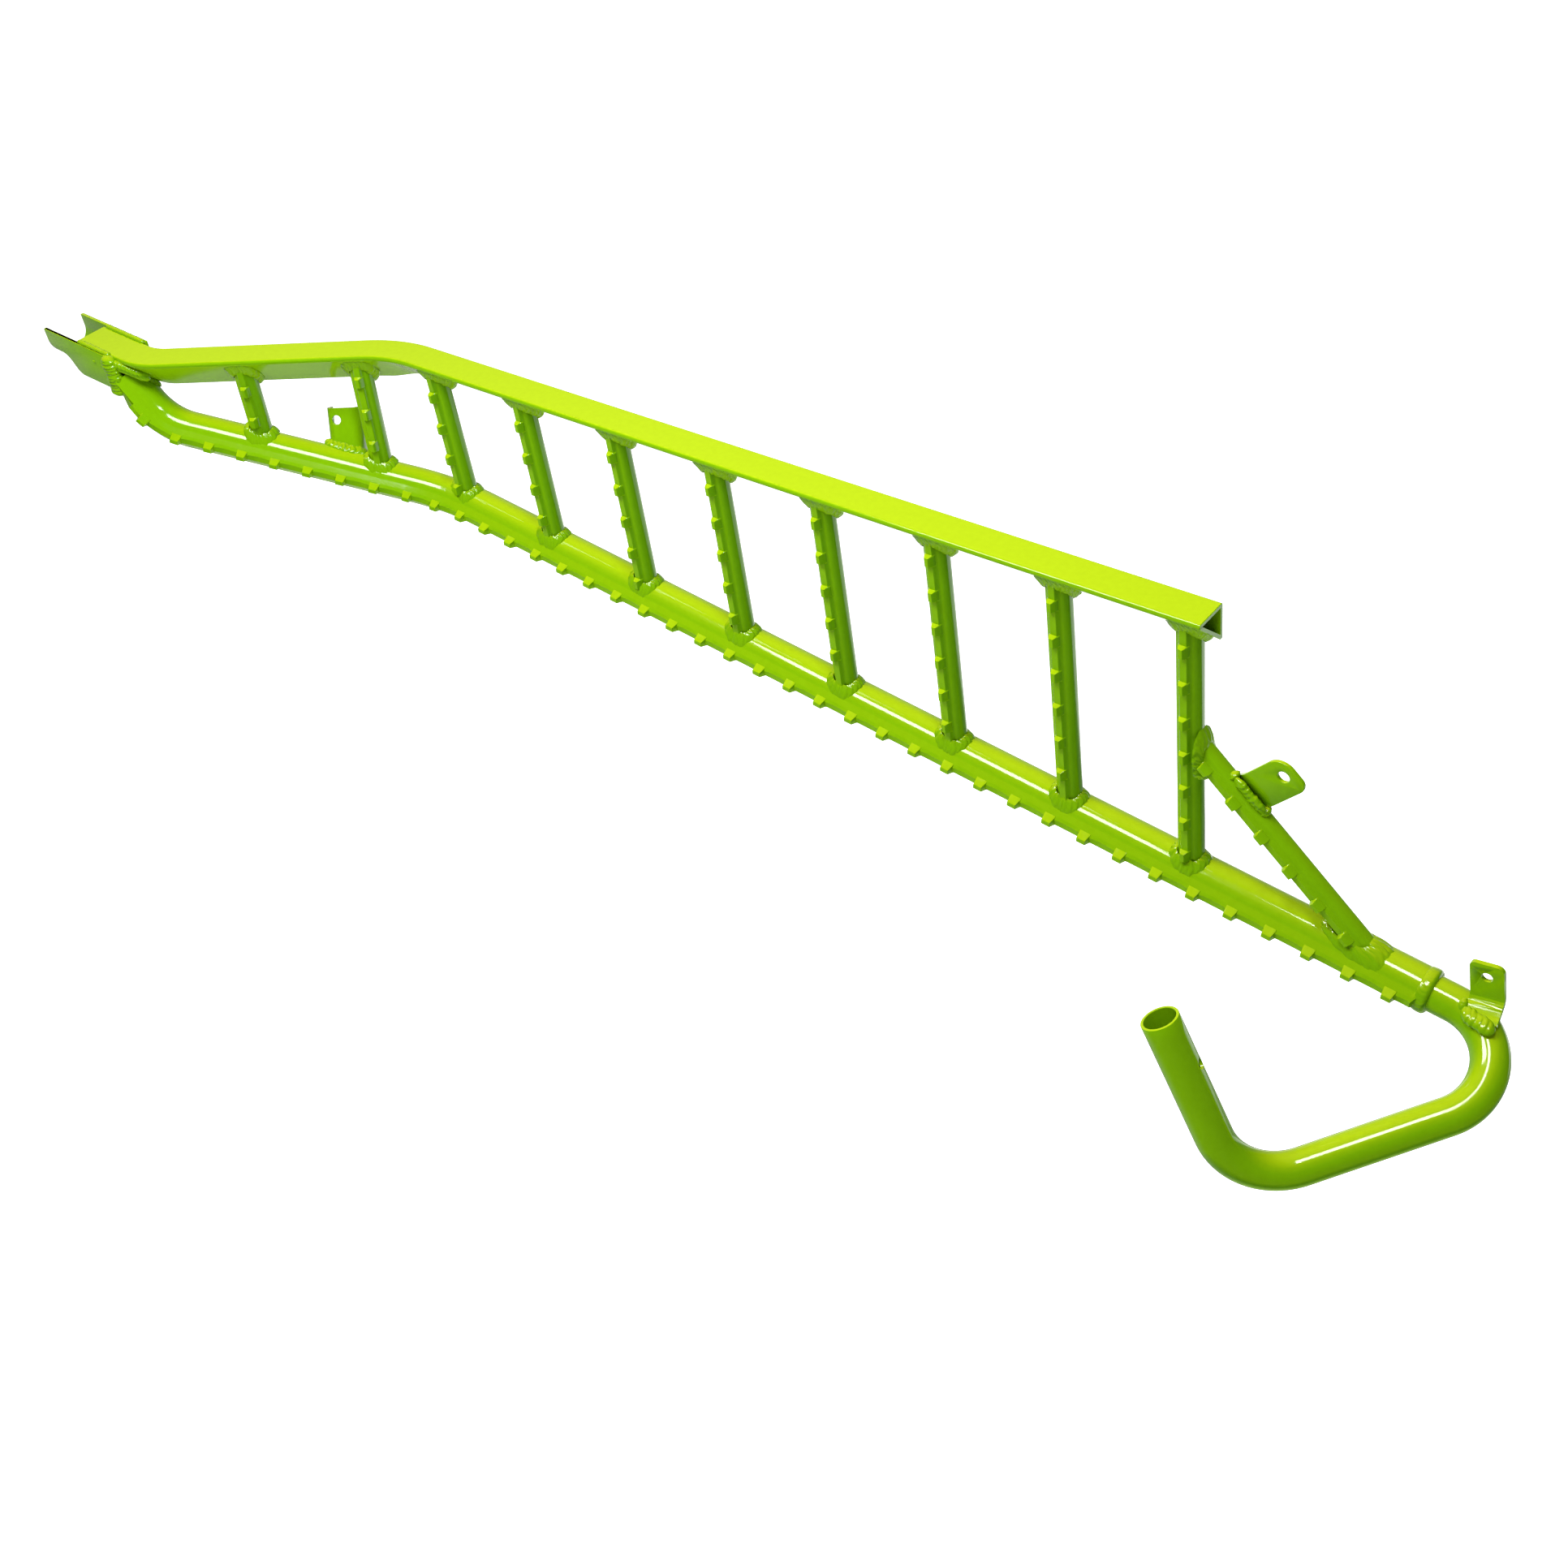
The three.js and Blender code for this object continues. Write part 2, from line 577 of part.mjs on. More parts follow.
const rungs = [
  ...KICKED_RUNGS.map(({ foot, top, firstTooth, teeth }) => ({
    foot: vec(...foot, outerKickAt(foot[0]).z),
    top: vec(...top, RUNG_TOP_Z),
    across: kickedAlong,
    slope: kickSlope,
    firstTooth,
    teeth,
  })),
  ...STRAIGHT_RUNGS.map(([x, firstTooth, teeth]) => ({
    foot: outerAt(x),
    top: vec(x, OUTER_Y, RUNG_TOP_Z),
    across: vec(1, 0, 0),
    slope: OUTER_SLOPE,
    firstTooth,
    teeth,
  })),
];
const frontRungKeepOff = rungs
  .map((rung, i) => addRung(`rung_${String(i + 1).padStart(2, "0")}`, rung))
  .at(-1);

// ---- diagonal brace -----------------------------------------------------------------------
const braceAlong = vec(-Math.cos(radians(BRACE_ANGLE)), 0, Math.sin(radians(BRACE_ANGLE)));
const braceFrame = {
  origin: vec(BRACE_POINT[0], OUTER_Y, BRACE_POINT[1]),
  across: cross(vec(0, 1, 0), braceAlong).normalize(),
  up: vec(0, 1, 0),
  along: braceAlong,
};
const downBrace = (distance) => slide(braceFrame, -distance);
const { body: braceBody, keepOff: braceKeepOff } = makeBar(
  [downBrace(170), downBrace(-25)],
  [downBrace(180), downBrace(-35)],
  range(BRACE_TEETH, (k) => downBrace(BRACE_FIRST_TOOTH + PITCH * k)),
);
// Everything behind the front side of the front rung.
const behindFrontRung =
  extrude(box(FRONT_RUNG_FACE - RUNG_HALF - 60, FRONT_RUNG_FACE + GAP, -60, 60), WORLD, -200, 0);
parts.diagonal_brace = carve(braceBody, behindFrontRung, outerGrown);

const braceTopWeld = collar(
  [[0.6, -3.6], [1.5, -2.4], [2.0, -0.8], [2.0, 2.0]],
  (x, y, shift) => {
    const start = inFrame(braceFrame, x, y);
    const toRung = (FRONT_RUNG_FACE - start.x) / braceAlong.x;
    return start.addScaledVector(braceAlong, toRung + shift);
  },
);
parts.weld_brace_top = carve(
  braceTopWeld, behindFrontRung, frontRungKeepOff, braceKeepOff, parts.weld_rung_10_foot,
);

const outerUp = frameAlong(outerAt(0), mainAlong).up;
const braceFootWeld = collar(
  [[4.0, -2.2], [4.0, 0.6], [2.4, 4.4], [0.9, 6.6]],
  (x, y, shift) => {
    const start = inFrame(braceFrame, x, y);
    const height = start.clone().sub(outerAt(0)).dot(outerUp);
    const toTube = (tubeTop(y) - height) / braceAlong.dot(outerUp);
    return start.addScaledVector(braceAlong, toTube + shift);
  },
);
parts.weld_brace_foot = carve(braceFootWeld, outerGrown, braceKeepOff);

// ---- brace tab: a foot on the brace's upper side, then a flat ear with a hole ---------------
const braceTabFrame = { ...downBrace(BRACE_TAB_AT), up: vec(0, -1, 0) };
parts.brace_tab = carve(tabPlate(braceTabFrame, BRACE_TAB), braceKeepOff);
{
  const { line, thickness, half } = BRACE_TAB;
  const grownLine = [[7, -4.1], ...line.slice(1, -1), [line.at(-1)[0] + GAP, 0]];
  parts.weld_brace_tab = carve(
    bead(
      inFrame(braceTabFrame, 9.2, 1.2, -half - 1.5),
      inFrame(braceTabFrame, 9.2, 1.2, half + 1.5),
      3.6,
    ),
    braceKeepOff,
    plate(braceTabFrame, grownLine, thickness + 2 * GAP, half + GAP),
  );
}

// ---- toe loop -----------------------------------------------------------------------------
const loopAlong1 = vec(...LOOP_DIRECTION_1).normalize();
const loopAlong2 = vec(...LOOP_DIRECTION_2).normalize();
function loopPath(extend) {
  const reach1 = LOOP_BEND_R[0] * Math.tan(mainAlong.angleTo(loopAlong1) / 2);
  const reach2 = LOOP_BEND_R[1] * Math.tan(loopAlong1.angleTo(loopAlong2) / 2);
  const start = outerAt(OUTER_FRONT).addScaledVector(mainAlong, -LOOP_INSERT - extend);
  const corner1 = outerAt(LOOP_BEND_X).addScaledVector(mainAlong, reach1);
  const corner2 = corner1.clone().addScaledVector(loopAlong1, reach1 + LOOP_RUN_1 + reach2);
  const end = corner2.clone().addScaledVector(loopAlong2, reach2 + LOOP_RUN_2 + extend);
  const path = roundPath([start, corner1, corner2, end], LOOP_BEND_R, LOOP_BEND_STEP);
  // carry one frame along the path without twist
  let across = cross(UP, path[0].along).normalize();
  return path.map(({ origin, along }) => {
    across = across.clone().addScaledVector(along, -across.dot(along)).normalize();
    return { origin, across, up: cross(along, across).normalize(), along };
  });
}
function makeToeLoop() {
  const path = loopPath(0);
  const holeCentre = path.at(-1).origin.clone().addScaledVector(loopAlong2, -LOOP_HOLE_BACK);
  const holeAxis = vec(...LOOP_HOLE_ZERO)
    .projectOnPlane(loopAlong2)
    .normalize()
    .applyAxisAngle(loopAlong2, radians(LOOP_HOLE_TURN));
  return carve(
    sweep(circle(LOOP_R, 20), path),
    sweep(circle(LOOP_BORE_R, 16), loopPath(6)),
    rod(holeCentre, holeAxis, LOOP_HOLE_R, 30),
  );
}
parts.toe_loop = makeToeLoop();
const loopGrown = sweep(circle(LOOP_R + GAP, 20), loopPath(0.5));

// bead round the mouth of the outer rail
const sleeveStations = [[13.2, GAP], [13.0, 1.4], [12.2, 2.6], [11.9, 3.6]];
parts.weld_sleeve = carve(
  turned(frameAlong(outerAt(OUTER_FRONT), mainAlong), sleeveStations, 24),
  loopGrown,
);

// ---- toe loop tab: a foot lying on the loop, then an upright ear with a hole ----------------
const loopTabAlong = vec(...LOOP_TAB_ALONG).normalize();
const loopTabFace = vec(...LOOP_TAB_FACE).normalize();
const loopTabFrame = {
  origin: vec(...LOOP_TAB_ORIGIN),
  across: cross(loopTabFace, loopTabAlong).normalize(),
  up: loopTabFace,
  along: loopTabAlong,
};
parts.toe_loop_tab = carve(tabPlate(loopTabFrame, LOOP_TAB), loopGrown);
{
  const { line, thickness, half } = LOOP_TAB;
  const grownLine = [[-6.6, 12.9], ...line.slice(1)];
  parts.weld_toe_loop_tab = carve(
    bead(
      inFrame(loopTabFrame, -4.4, 10.8, -12.5),
      inFrame(loopTabFrame, -5.6, 14.6, 11.0),
      3.4,
    ),
    loopGrown,
    plate(loopTabFrame, grownLine, thickness + 2 * GAP, half + GAP),
  );
}

// ---- clip bracket -------------------------------------------------------------------------
// The strap rises along its frame; section x is along the rail, y back from its front face.
const clipAlong = UP.clone()
  .multiplyScalar(Math.cos(radians(CLIP_LEAN)))
  .addScaledVector(cross(UP, kickedAlong), Math.sin(radians(CLIP_LEAN)));
const clipFrame = {
  origin: outerKickAt(CLIP_X),
  across: kickedAlong,
  up: cross(clipAlong, kickedAlong).normalize(),
  along: clipAlong,
};
function strapSection(grow) {
  const outer = CLIP_HALF + grow;
  const wall = CLIP_WALL + grow;
  const inner = CLIP_HALF - wall;
  const back = CLIP_DEPTH + grow;
  const outside = [
    [outer, back, 0], [outer, -grow, CLIP_R + grow],
    [-outer, -grow, CLIP_R + grow], [-outer, back, 0],
  ];
  const inside = [
    [-inner, back, 0], [-inner, wall, CLIP_R - CLIP_WALL],
    [inner, wall, CLIP_R - CLIP_WALL], [inner, back, 0],
  ];
  return [...rounded(outside, 5), ...rounded(inside, 4)].reverse();
}
const clipHole = rod(
  inFrame(clipFrame, CLIP_HOLE_OFF, 0, CLIP_TOP - CLIP_HOLE_DOWN),
  clipFrame.up, CLIP_HOLE_R, 14, 18,
);
parts.clip_bracket =
  carve(extrude(strapSection(0), clipFrame, 0, CLIP_TOP), clipHole, outerGrown);

// Ring of the weld at the clip's foot, following the tube.
function clipWeldRing([spread, shift]) {
  const side = CLIP_HALF + spread;
  const back = CLIP_DEPTH + spread * 0.4;
  const radius = CLIP_R + spread;
  const outline = rounded([
    [-side, back, 1], [side, back, 1], [side, -spread, radius], [-side, -spread, radius],
  ], 5);
  return outline.map(([x, y]) => {
    // kept at least 3 up, where the outline runs past the tube
    const tube = Math.sqrt(Math.max(9, OUTER_R ** 2 - y ** 2));
    return inFrame(clipFrame, x, y, tube + kickSlope * x + shift);
  });
}
{
  const inside = CLIP_HALF - CLIP_WALL - 0.4;
  parts.weld_clip = carve(
    loft([[0.9, 4.4], [2.6, 2.8], [4.2, 0.2], [4.2, -2.0]].map(clipWeldRing)),
    outerGrown,
    extrude(strapSection(GAP), clipFrame, -3, CLIP_TOP + 1),
    extrude(box(-inside, inside, CLIP_WALL + 0.4, 40), clipFrame, 0, 40),
  );
}

// ---- saddle, rails and the beads that join them -------------------------------------------
parts.rear_saddle = rearSaddle;
parts.inner_rail = innerRail;
parts.outer_rail = outerRail;

// Upright bead at the front edge of the ear.
function sideBead(grow) {
  const x = SADDLE_FRONT + 6.5;
  const side = -SADDLE_HALF + 0.6;
  return bead(onSaddle(x, side, -1.0 + grow), onSaddle(x, side, -30.5 - grow), 6.0 + grow, 12);
}
const sideBeadGrown = sideBead(GAP);
parts.weld_saddle_side = carve(sideBead(0), innerGrown, saddleGrown, outerGrown);

// Long beads beside the flat face: near is the toothed side, far is the +Y side.
const edgeBead = (rear, front, side) =>
  bead(onSaddle(rear, side, SADDLE_TOP), onSaddle(front, side, SADDLE_TOP), 2.1, 8);
parts.weld_saddle_near = carve(
  edgeBead(-886, SADDLE_FRONT - 1.5, -12.4), innerGrown, saddleGrown, sideBeadGrown,
);
parts.weld_saddle_far = carve(
  edgeBead(-885, SADDLE_FRONT + 9.5, 12.4), innerGrown, saddleGrown,
);

// Collar where the outer rail runs up into the slanted face of the inner rail.
function railJoin() {
  const { origin, across, along } = outerCentre[0];
  const rise = along.clone().negate();
  const frame = { origin, across, up: cross(rise, across).normalize(), along: rise };
  const slantNormal = saddleFrame(origin.x).across
    .multiplyScalar(INNER_DEPTH_REAR - INNER_LIP)
    .addScaledVector(UP, INNER_WIDTH)
    .normalize();
  const slantPoint = onSaddle(origin.x, -INNER_HALF, -INNER_LIP);
  const highest = -15; // z the collar's reference surface stays below
  const ring = ([radius, shift]) => ringIn(frame, circle(radius, 24)).map((point) => {
    const toSlant = slantPoint.clone().sub(point).dot(slantNormal) / rise.dot(slantNormal);
    const toHighest = (highest - point.z) / rise.z;
    return point.addScaledVector(rise, Math.min(toSlant, toHighest) + shift);
  });
  return loft([
    [OUTER_R + 0.6, -7.5], [OUTER_R + 1.8, -5.4], [OUTER_R + 2.8, -2.6],
    [OUTER_R + 2.9, -0.8], [OUTER_R - 6, -0.4],
  ].map(ring));
}
parts.weld_rail_join =
  carve(railJoin(), earBlock, innerGrown, outerGrown, saddleGrown, sideBeadGrown);

// ---- scene group --------------------------------------------------------------------------
function toMesh(name, solid) {
  const { vertProperties, triVerts } = solid.getMesh();
  const geometry = new THREE.BufferGeometry();
  geometry.setAttribute("position", new THREE.BufferAttribute(new Float32Array(vertProperties), 3));
  geometry.setIndex(new THREE.BufferAttribute(new Uint32Array(triVerts), 1));
  geometry.computeVertexNormals();
  const paint = new THREE.MeshStandardMaterial({ color: PAINT, metalness: 0.0, roughness: 0.25 });
  const mesh = new THREE.Mesh(geometry, paint);
  mesh.name = name;
  return mesh;
}
const root = new THREE.Group();
root.name = "foot_rail";
root.position.set(...ORIGIN).negate();
for (const [name, solid] of Object.entries(parts)) root.add(toMesh(name, solid));

export default root;
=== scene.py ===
"""Gloss-painted tube frame: an inner rail and a lower outer rail joined by ten toothed rungs.

The rails run along X with +X the front and +Z up. Behind x = -630 or so both rails swing
towards -Y and meet at the rear saddle. All teeth face -Y. A diagonal brace and a toe loop
close the front. Shapes are given in CAD millimetres and moved to ORIGIN, in metres, when built.
"""
from collections import namedtuple
from functools import partial
from math import acos, atan2, ceil, cos, floor, hypot, pi, radians, sin, sqrt, tan

import bmesh
import bpy
import numpy as np
from mathutils import Matrix, Vector


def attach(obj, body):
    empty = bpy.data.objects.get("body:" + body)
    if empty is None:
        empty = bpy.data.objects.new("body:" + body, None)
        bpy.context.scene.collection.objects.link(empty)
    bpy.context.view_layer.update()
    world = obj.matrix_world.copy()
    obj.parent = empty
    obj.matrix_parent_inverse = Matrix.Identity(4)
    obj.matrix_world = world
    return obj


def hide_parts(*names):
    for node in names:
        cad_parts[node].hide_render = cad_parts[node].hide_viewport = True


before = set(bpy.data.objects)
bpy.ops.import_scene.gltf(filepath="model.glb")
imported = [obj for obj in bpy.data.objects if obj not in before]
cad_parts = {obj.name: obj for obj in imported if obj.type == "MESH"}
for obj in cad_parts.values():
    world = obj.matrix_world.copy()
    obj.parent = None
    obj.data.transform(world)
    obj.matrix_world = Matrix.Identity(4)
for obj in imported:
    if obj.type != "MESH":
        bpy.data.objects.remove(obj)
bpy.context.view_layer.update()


def vec(*coords):
    return np.array(coords, float)


def unit(v):
    v = np.asarray(v, float)
    return v / np.linalg.norm(v)


UP = vec(0, 0, 1)


def side_and_up(along):
    """The level direction to the left of a heading, and the one square to both."""
    side = unit(np.cross(UP, along))
    return side, unit(np.cross(along, side))


# ---- shared dimensions, in millimetres and degrees ------------------------------------------
TOOTH_PITCH = 25.4
INNER_WIDTH = 24.4
INNER_HALF = INNER_WIDTH / 2
INNER_Y = 11.9
INNER_DEPTH, INNER_DEPTH_REAR = 26.3, 31.0  # of the +Y side
INNER_LIP = 3.0  # depth of the -Y side
INNER_TURN = vec(-816.8, -83.8, 0)  # corner where the rear run begins
ORIGIN = vec(-20.0, INNER_Y, 0.0)

OUTER_R, OUTER_Y = 13.3, 11.7
OUTER_Z0, OUTER_SLOPE = -197.2, -0.1285  # height at x = 0, and rise per unit of x
OUTER_FRONT_X = 141.0
OUTER_KICK_X, OUTER_KICK, OUTER_KICK_RISE = -628.0, 26.0, 0.314
OUTER_ALONG = unit(vec(1, 0, OUTER_SLOPE))

SADDLE_HALF, SADDLE_THICK = 15.6, 2.5
REAR_HEADING = -3.5
REAR_ALONG = vec(cos(radians(REAR_HEADING)), sin(radians(REAR_HEADING)), 0)
REAR_SIDE = side_and_up(REAR_ALONG)[0]
KICK_HEADING = 30.0
KICK_ALONG = vec(cos(radians(KICK_HEADING)), sin(radians(KICK_HEADING)), 0)


def outer_z(x):
    return OUTER_Z0 + OUTER_SLOPE * x


def outer_at(x):
    """Axis of the outer rail's straight run."""
    return vec(x, OUTER_Y, outer_z(x))


def outer_kick_at(x):
    """Axis of the outer rail's kicked run, behind OUTER_KICK_X."""
    back = x - OUTER_KICK_X
    return vec(x, OUTER_Y + tan(radians(OUTER_KICK)) * back,
               outer_z(OUTER_KICK_X) - OUTER_KICK_RISE * back)


# ---- materials ------------------------------------------------------------------------------
# Paint colour with painted light and shade, by facing: position (0 down, 1 up), red, green, blue
PAINTED_SHADE_STOPS = [
    (0.0, 0.26, 0.50, 0.0006), (0.25, 0.22, 0.46, 0.0006), (0.375, 0.105, 0.28, 0.0006),
    (0.475, 0.185, 0.40, 0.0006), (0.6, 0.17, 0.38, 0.0006), (0.73, 0.165, 0.365, 0.0008),
    (0.835, 0.205, 0.38, 0.001), (0.925, 0.30, 0.455, 0.002), (0.985, 0.37, 0.51, 0.006),
]
# Painted light falls from this direction: faces turned to it get the painted highlight colour
PAINTED_LIGHT_UP = (-0.25, 0.05, 0.967)  # the direction that counts as up for the colour


def add_node(tree, kind, inputs=None, **settings):
    """Add a shader node; an input given as a socket is linked, any other is set."""
    node = tree.nodes.new("ShaderNode" + kind)
    for key, value in settings.items():
        setattr(node, key, value)
    for key, value in (inputs or {}).items():
        if isinstance(value, bpy.types.NodeSocket):
            tree.links.new(value, node.inputs[key])
        else:
            node.inputs[key].default_value = value
    return node


def shaded_paint(name, peel, peel_scale=900.0, tint=1.0, roughness=0.085):
    """Gloss powder coat whose colour carries painted light and shade: yellower where it faces up,
    greener at the sides; faint orange peel.
    """
    material = bpy.data.materials.new(name)
    material.use_nodes = True
    tree = material.node_tree
    tree.nodes.clear()
    add = partial(add_node, tree)

    normal = add("NewGeometry").outputs["Normal"]
    facing = add("VectorMath", {0: normal, 1: PAINTED_LIGHT_UP}, operation="DOT_PRODUCT")
    span = add("MapRange", {"From Min": -1.0, "Value": facing.outputs["Value"]})
    # The ramp paints light and shade by facing: yellow where a face turns up, darker green at the
    # sides
    ramp = add("ValToRGB", {0: span.outputs[0]})
    stops = ramp.color_ramp.elements
    stops[0].position = PAINTED_SHADE_STOPS[0][0]
    stops[1].position = PAINTED_SHADE_STOPS[-1][0]
    for stop in PAINTED_SHADE_STOPS[1:-1]:
        stops.new(stop[0])
    for element, (_, red, green, blue) in zip(stops, PAINTED_SHADE_STOPS):
        element.color = (red * tint, green * tint, blue, 1)

    place_in = add("TexCoord").outputs["Object"]
    fine = add("TexNoise", {"Scale": 260.0, "Detail": 3.0, "Vector": place_in}).outputs["Fac"]
    mottle = add("MapRange", {"To Min": 0.93, "To Max": 1.05, "Value": fine})
    color = add("Mix", {"Factor": 1.0, "A": ramp.outputs[0], "B": mottle.outputs[0]},
                data_type="RGBA", blend_type="MULTIPLY")
    peel_noise = add("TexNoise", {"Scale": peel_scale, "Detail": 2.0, "Vector": place_in})
    bump = add("Bump", {"Strength": peel, "Distance": 0.0003,
                        "Height": peel_noise.outputs["Fac"]})
    rough = add("MapRange", {"To Min": roughness - 0.03, "To Max": roughness + 0.05,
                             "Value": fine})
    shader = add("BsdfPrincipled", {"Base Color": color.outputs["Result"], "IOR": 1.45,
                                    "Normal": bump.outputs[0], "Roughness": rough.outputs[0]})
    add("OutputMaterial", {0: shader.outputs[0]})
    return material


# Both materials carry painted light and shade in their colour ramp
PAINT = shaded_paint("gloss_paint_with_painted_shade", peel=0.035)
WELD = shaded_paint("weld_paint_with_painted_shade", peel=0.2, peel_scale=380.0, tint=0.93, roughness=0.11)


# ---- building objects -----------------------------------------------------------------------
def metres(points):
    return ((np.asarray(points, float) - ORIGIN) / 1000.0).tolist()


def apply_modifiers(obj):
    graph = bpy.context.evaluated_depsgraph_get()
    mesh = bpy.data.meshes.new_from_object(obj.evaluated_get(graph))
    obj.modifiers.clear()
    obj.data = mesh


def add_cutter(obj, verts, faces):
    """Subtract a closed shape from obj; returns the object that does the cutting."""
    mesh = bpy.data.meshes.new("cut")
    mesh.from_pydata(metres(verts), [], faces)
    bm = bmesh.new()
    bm.from_mesh(mesh)
    bmesh.ops.recalc_face_normals(bm, faces=bm.faces[:])
    bm.to_mesh(mesh)
    bm.free()
    tool = bpy.data.objects.new("cut", mesh)
    bpy.context.scene.collection.objects.link(tool)
    cut = obj.modifiers.new("cut", "BOOLEAN")
    cut.object = tool
    cut.operation = "DIFFERENCE"
    cut.solver = "EXACT"
    return tool


def build(name, parts, node, material=PAINT, smooth=36, bevel=0.0, cutters=()):
    """One object from [(verts, faces), ...], standing for one CAD node.

    Edges sharper than smooth degrees are shaded sharp.
    """
    bm = bmesh.new()
    for verts, faces in parts:
        added = [bm.verts.new(co) for co in metres(verts)]
        for face in faces:
            bm.faces.new([added[i] for i in face])
    bmesh.ops.remove_doubles(bm, verts=bm.verts[:], dist=2e-6)
    bmesh.ops.dissolve_degenerate(bm, edges=bm.edges[:], dist=1e-6)
    bmesh.ops.recalc_face_normals(bm, faces=bm.faces[:])
    mesh = bpy.data.meshes.new(name)
    bm.to_mesh(mesh)
    bm.free()
    obj = bpy.data.objects.new(name, mesh)
    bpy.context.scene.collection.objects.link(obj)
    if cutters:
        tools = [add_cutter(obj, *cutter) for cutter in cutters]
        apply_modifiers(obj)
        for tool in tools:
            bpy.data.objects.remove(tool)
    if bevel:
        edge = obj.modifiers.new("edge", "BEVEL")
        edge.width = bevel / 1000.0
        edge.segments = 3
        edge.limit_method = "ANGLE"
        edge.angle_limit = radians(40)
        apply_modifiers(obj)
    bm = bmesh.new()
    bm.from_mesh(obj.data)
    for face in bm.faces:
        face.smooth = True
    limit = radians(smooth)
    for edge in bm.edges:
        edge.smooth = not (len(edge.link_faces) == 2 and edge.calc_face_angle(0.0) > limit)
    bm.to_mesh(obj.data)
    bm.free()
    obj.data.materials.clear()
    obj.data.materials.append(material)
    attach(obj, "root")
    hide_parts(node)


def weld(name, parts, node):
    build(name, parts, node, material=WELD, smooth=60)


# ---- shapes and paths -----------------------------------------------------------------------
Frame = namedtuple("Frame", "point along side up", defaults=(None, None))


def axes_at(origin, *axes):
    """A function that turns distances along the axes into a 3-D point."""
    def point(*coords):
        result = origin
        for axis, coord in zip(axes, coords):
            result = result + axis * coord
        return result
    return point


def skin(rings, loop=False, caps=True):
    """Quads through rings of points; loop joins the last ring to the first."""
    n, count = len(rings[0]), len(rings)
    verts = np.concatenate([np.asarray(ring, float) for ring in rings])
    faces = []
    for i in range(count if loop else count - 1):
        a, b = i * n, ((i + 1) % count) * n
        for j in range(n):
            j2 = (j + 1) % n
            faces.append((a + j, a + j2, b + j2, b + j))
    if caps and not loop:
        faces.append(tuple(reversed(range(n))))
        faces.append(tuple(range((count - 1) * n, count * n)))
    return verts, faces


def place(profile, frame):
    outline = np.asarray(profile, float)
    return axes_at(frame.point, frame.side, frame.up)(outline[:, :1], outline[:, 1:2])


def rounded(corners, segments=6, hold=0.0):
    """Corners [x, y, radius] with arcs; hold adds a point that far before and after each arc."""
    out = []
    for i, (x, y, radius) in enumerate(corners):
        corner = np.array([x, y])
        if not radius:
            out.append(corner)
            continue
        back = np.array(corners[i - 1][:2], float) - corner
        ahead = np.array(corners[(i + 1) % len(corners)][:2], float) - corner
        back /= np.linalg.norm(back)
        ahead /= np.linalg.norm(ahead)
        half = acos(max(-1, min(1, float(back @ ahead)))) / 2
        reach = radius / tan(half)
        center = corner + (back + ahead) / np.linalg.norm(back + ahead) * (radius / sin(half))
        start, end = corner + back * reach, corner + ahead * reach
        first = atan2(*(start - center)[::-1])
        sweep = atan2(*(end - center)[::-1]) - first
        sweep = (sweep + pi) % (2 * pi) - pi
        if hold:
            out.append(start + back * hold)
        for k in range(segments + 1):
            angle = first + sweep * k / segments
            out.append(center + radius * np.array([cos(angle), sin(angle)]))
        if hold:
            out.append(end + ahead * hold)
    return np.array(out)


def circle(radius, n=64):
    angles = 2 * np.pi * (np.arange(n) + 0.5) / n
    return np.stack([radius * np.cos(angles), radius * np.sin(angles)], 1)


def round_path(points, radii, step=2.0, straight=None):
    """Frames along a polyline with arcs at its corners, a point every step degrees or less.

    straight, where given, is the spacing of the points added along straight runs.
    """
    out = []

    def push(point, along):
        if straight and out:
            last = out[-1].point
            length = np.linalg.norm(point - last)
            count = int(length // straight)
            if count > 1 and np.linalg.norm(np.cross(along, (point - last) / length)) < 1e-3:
                for k in range(1, count):
                    out.append(Frame(last + (point - last) * k / count, along))
        out.append(Frame(point, along))

    push(points[0], unit(points[1] - points[0]))
    for before, corner, after, radius in zip(points, points[1:], points[2:], radii):
        d0, d1 = unit(corner - before), unit(after - corner)
        turn = acos(max(-1, min(1, float(d0 @ d1))))
        inward = np.cross(unit(np.cross(d0, d1)), d0)
        center = corner - d0 * radius * tan(turn / 2) + inward * radius
        n = max(2, ceil(turn / radians(step)))
        for k in range(n + 1):
            angle = turn * k / n
            push(center - inward * radius * cos(angle) + d0 * radius * sin(angle),
                 d0 * cos(angle) + inward * sin(angle))
    push(points[-1], unit(points[-1] - points[-2]))
    return out


def rail_frames(path):
    return [Frame(f.point, f.along, *side_and_up(f.along)) for f in path]


def lengths_along(frames):
    lengths = [0.0]
    for a, b in zip(frames, frames[1:]):
        lengths.append(lengths[-1] + float(np.linalg.norm(b.point - a.point)))
    return np.array(lengths)


def frame_at(frames, lengths, s):
    """Frame at the distance s along a path."""
    s = min(max(s, 0.0), lengths[-1])
    i = min(int(np.searchsorted(lengths, s, side="right")) - 1, len(frames) - 2)
    k = (s - lengths[i]) / max(lengths[i + 1] - lengths[i], 1e-9)
    a, b = frames[i], frames[i + 1]
    along = unit(a.along * (1 - k) + b.along * k)
    return Frame(a.point * (1 - k) + b.point * k, along, *side_and_up(along))


def smooth_line(points, n):
    """Catmull-Rom curve through 2-D points, n steps to a span."""
    p = np.asarray(points, float)
    p = np.vstack([2 * p[0] - p[1], p, 2 * p[-1] - p[-2]])
    out = []
    for a, b, c, d in zip(p, p[1:], p[2:], p[3:]):
        for k in range(n):
            t = k / n
            out.append(0.5 * ((2 * b) + (-a + c) * t + (2 * a - 5 * b + 4 * c - d) * t * t
                              + (-a + 3 * b - 3 * c + d) * t ** 3))
    out.append(p[-2])
    return np.array(out)


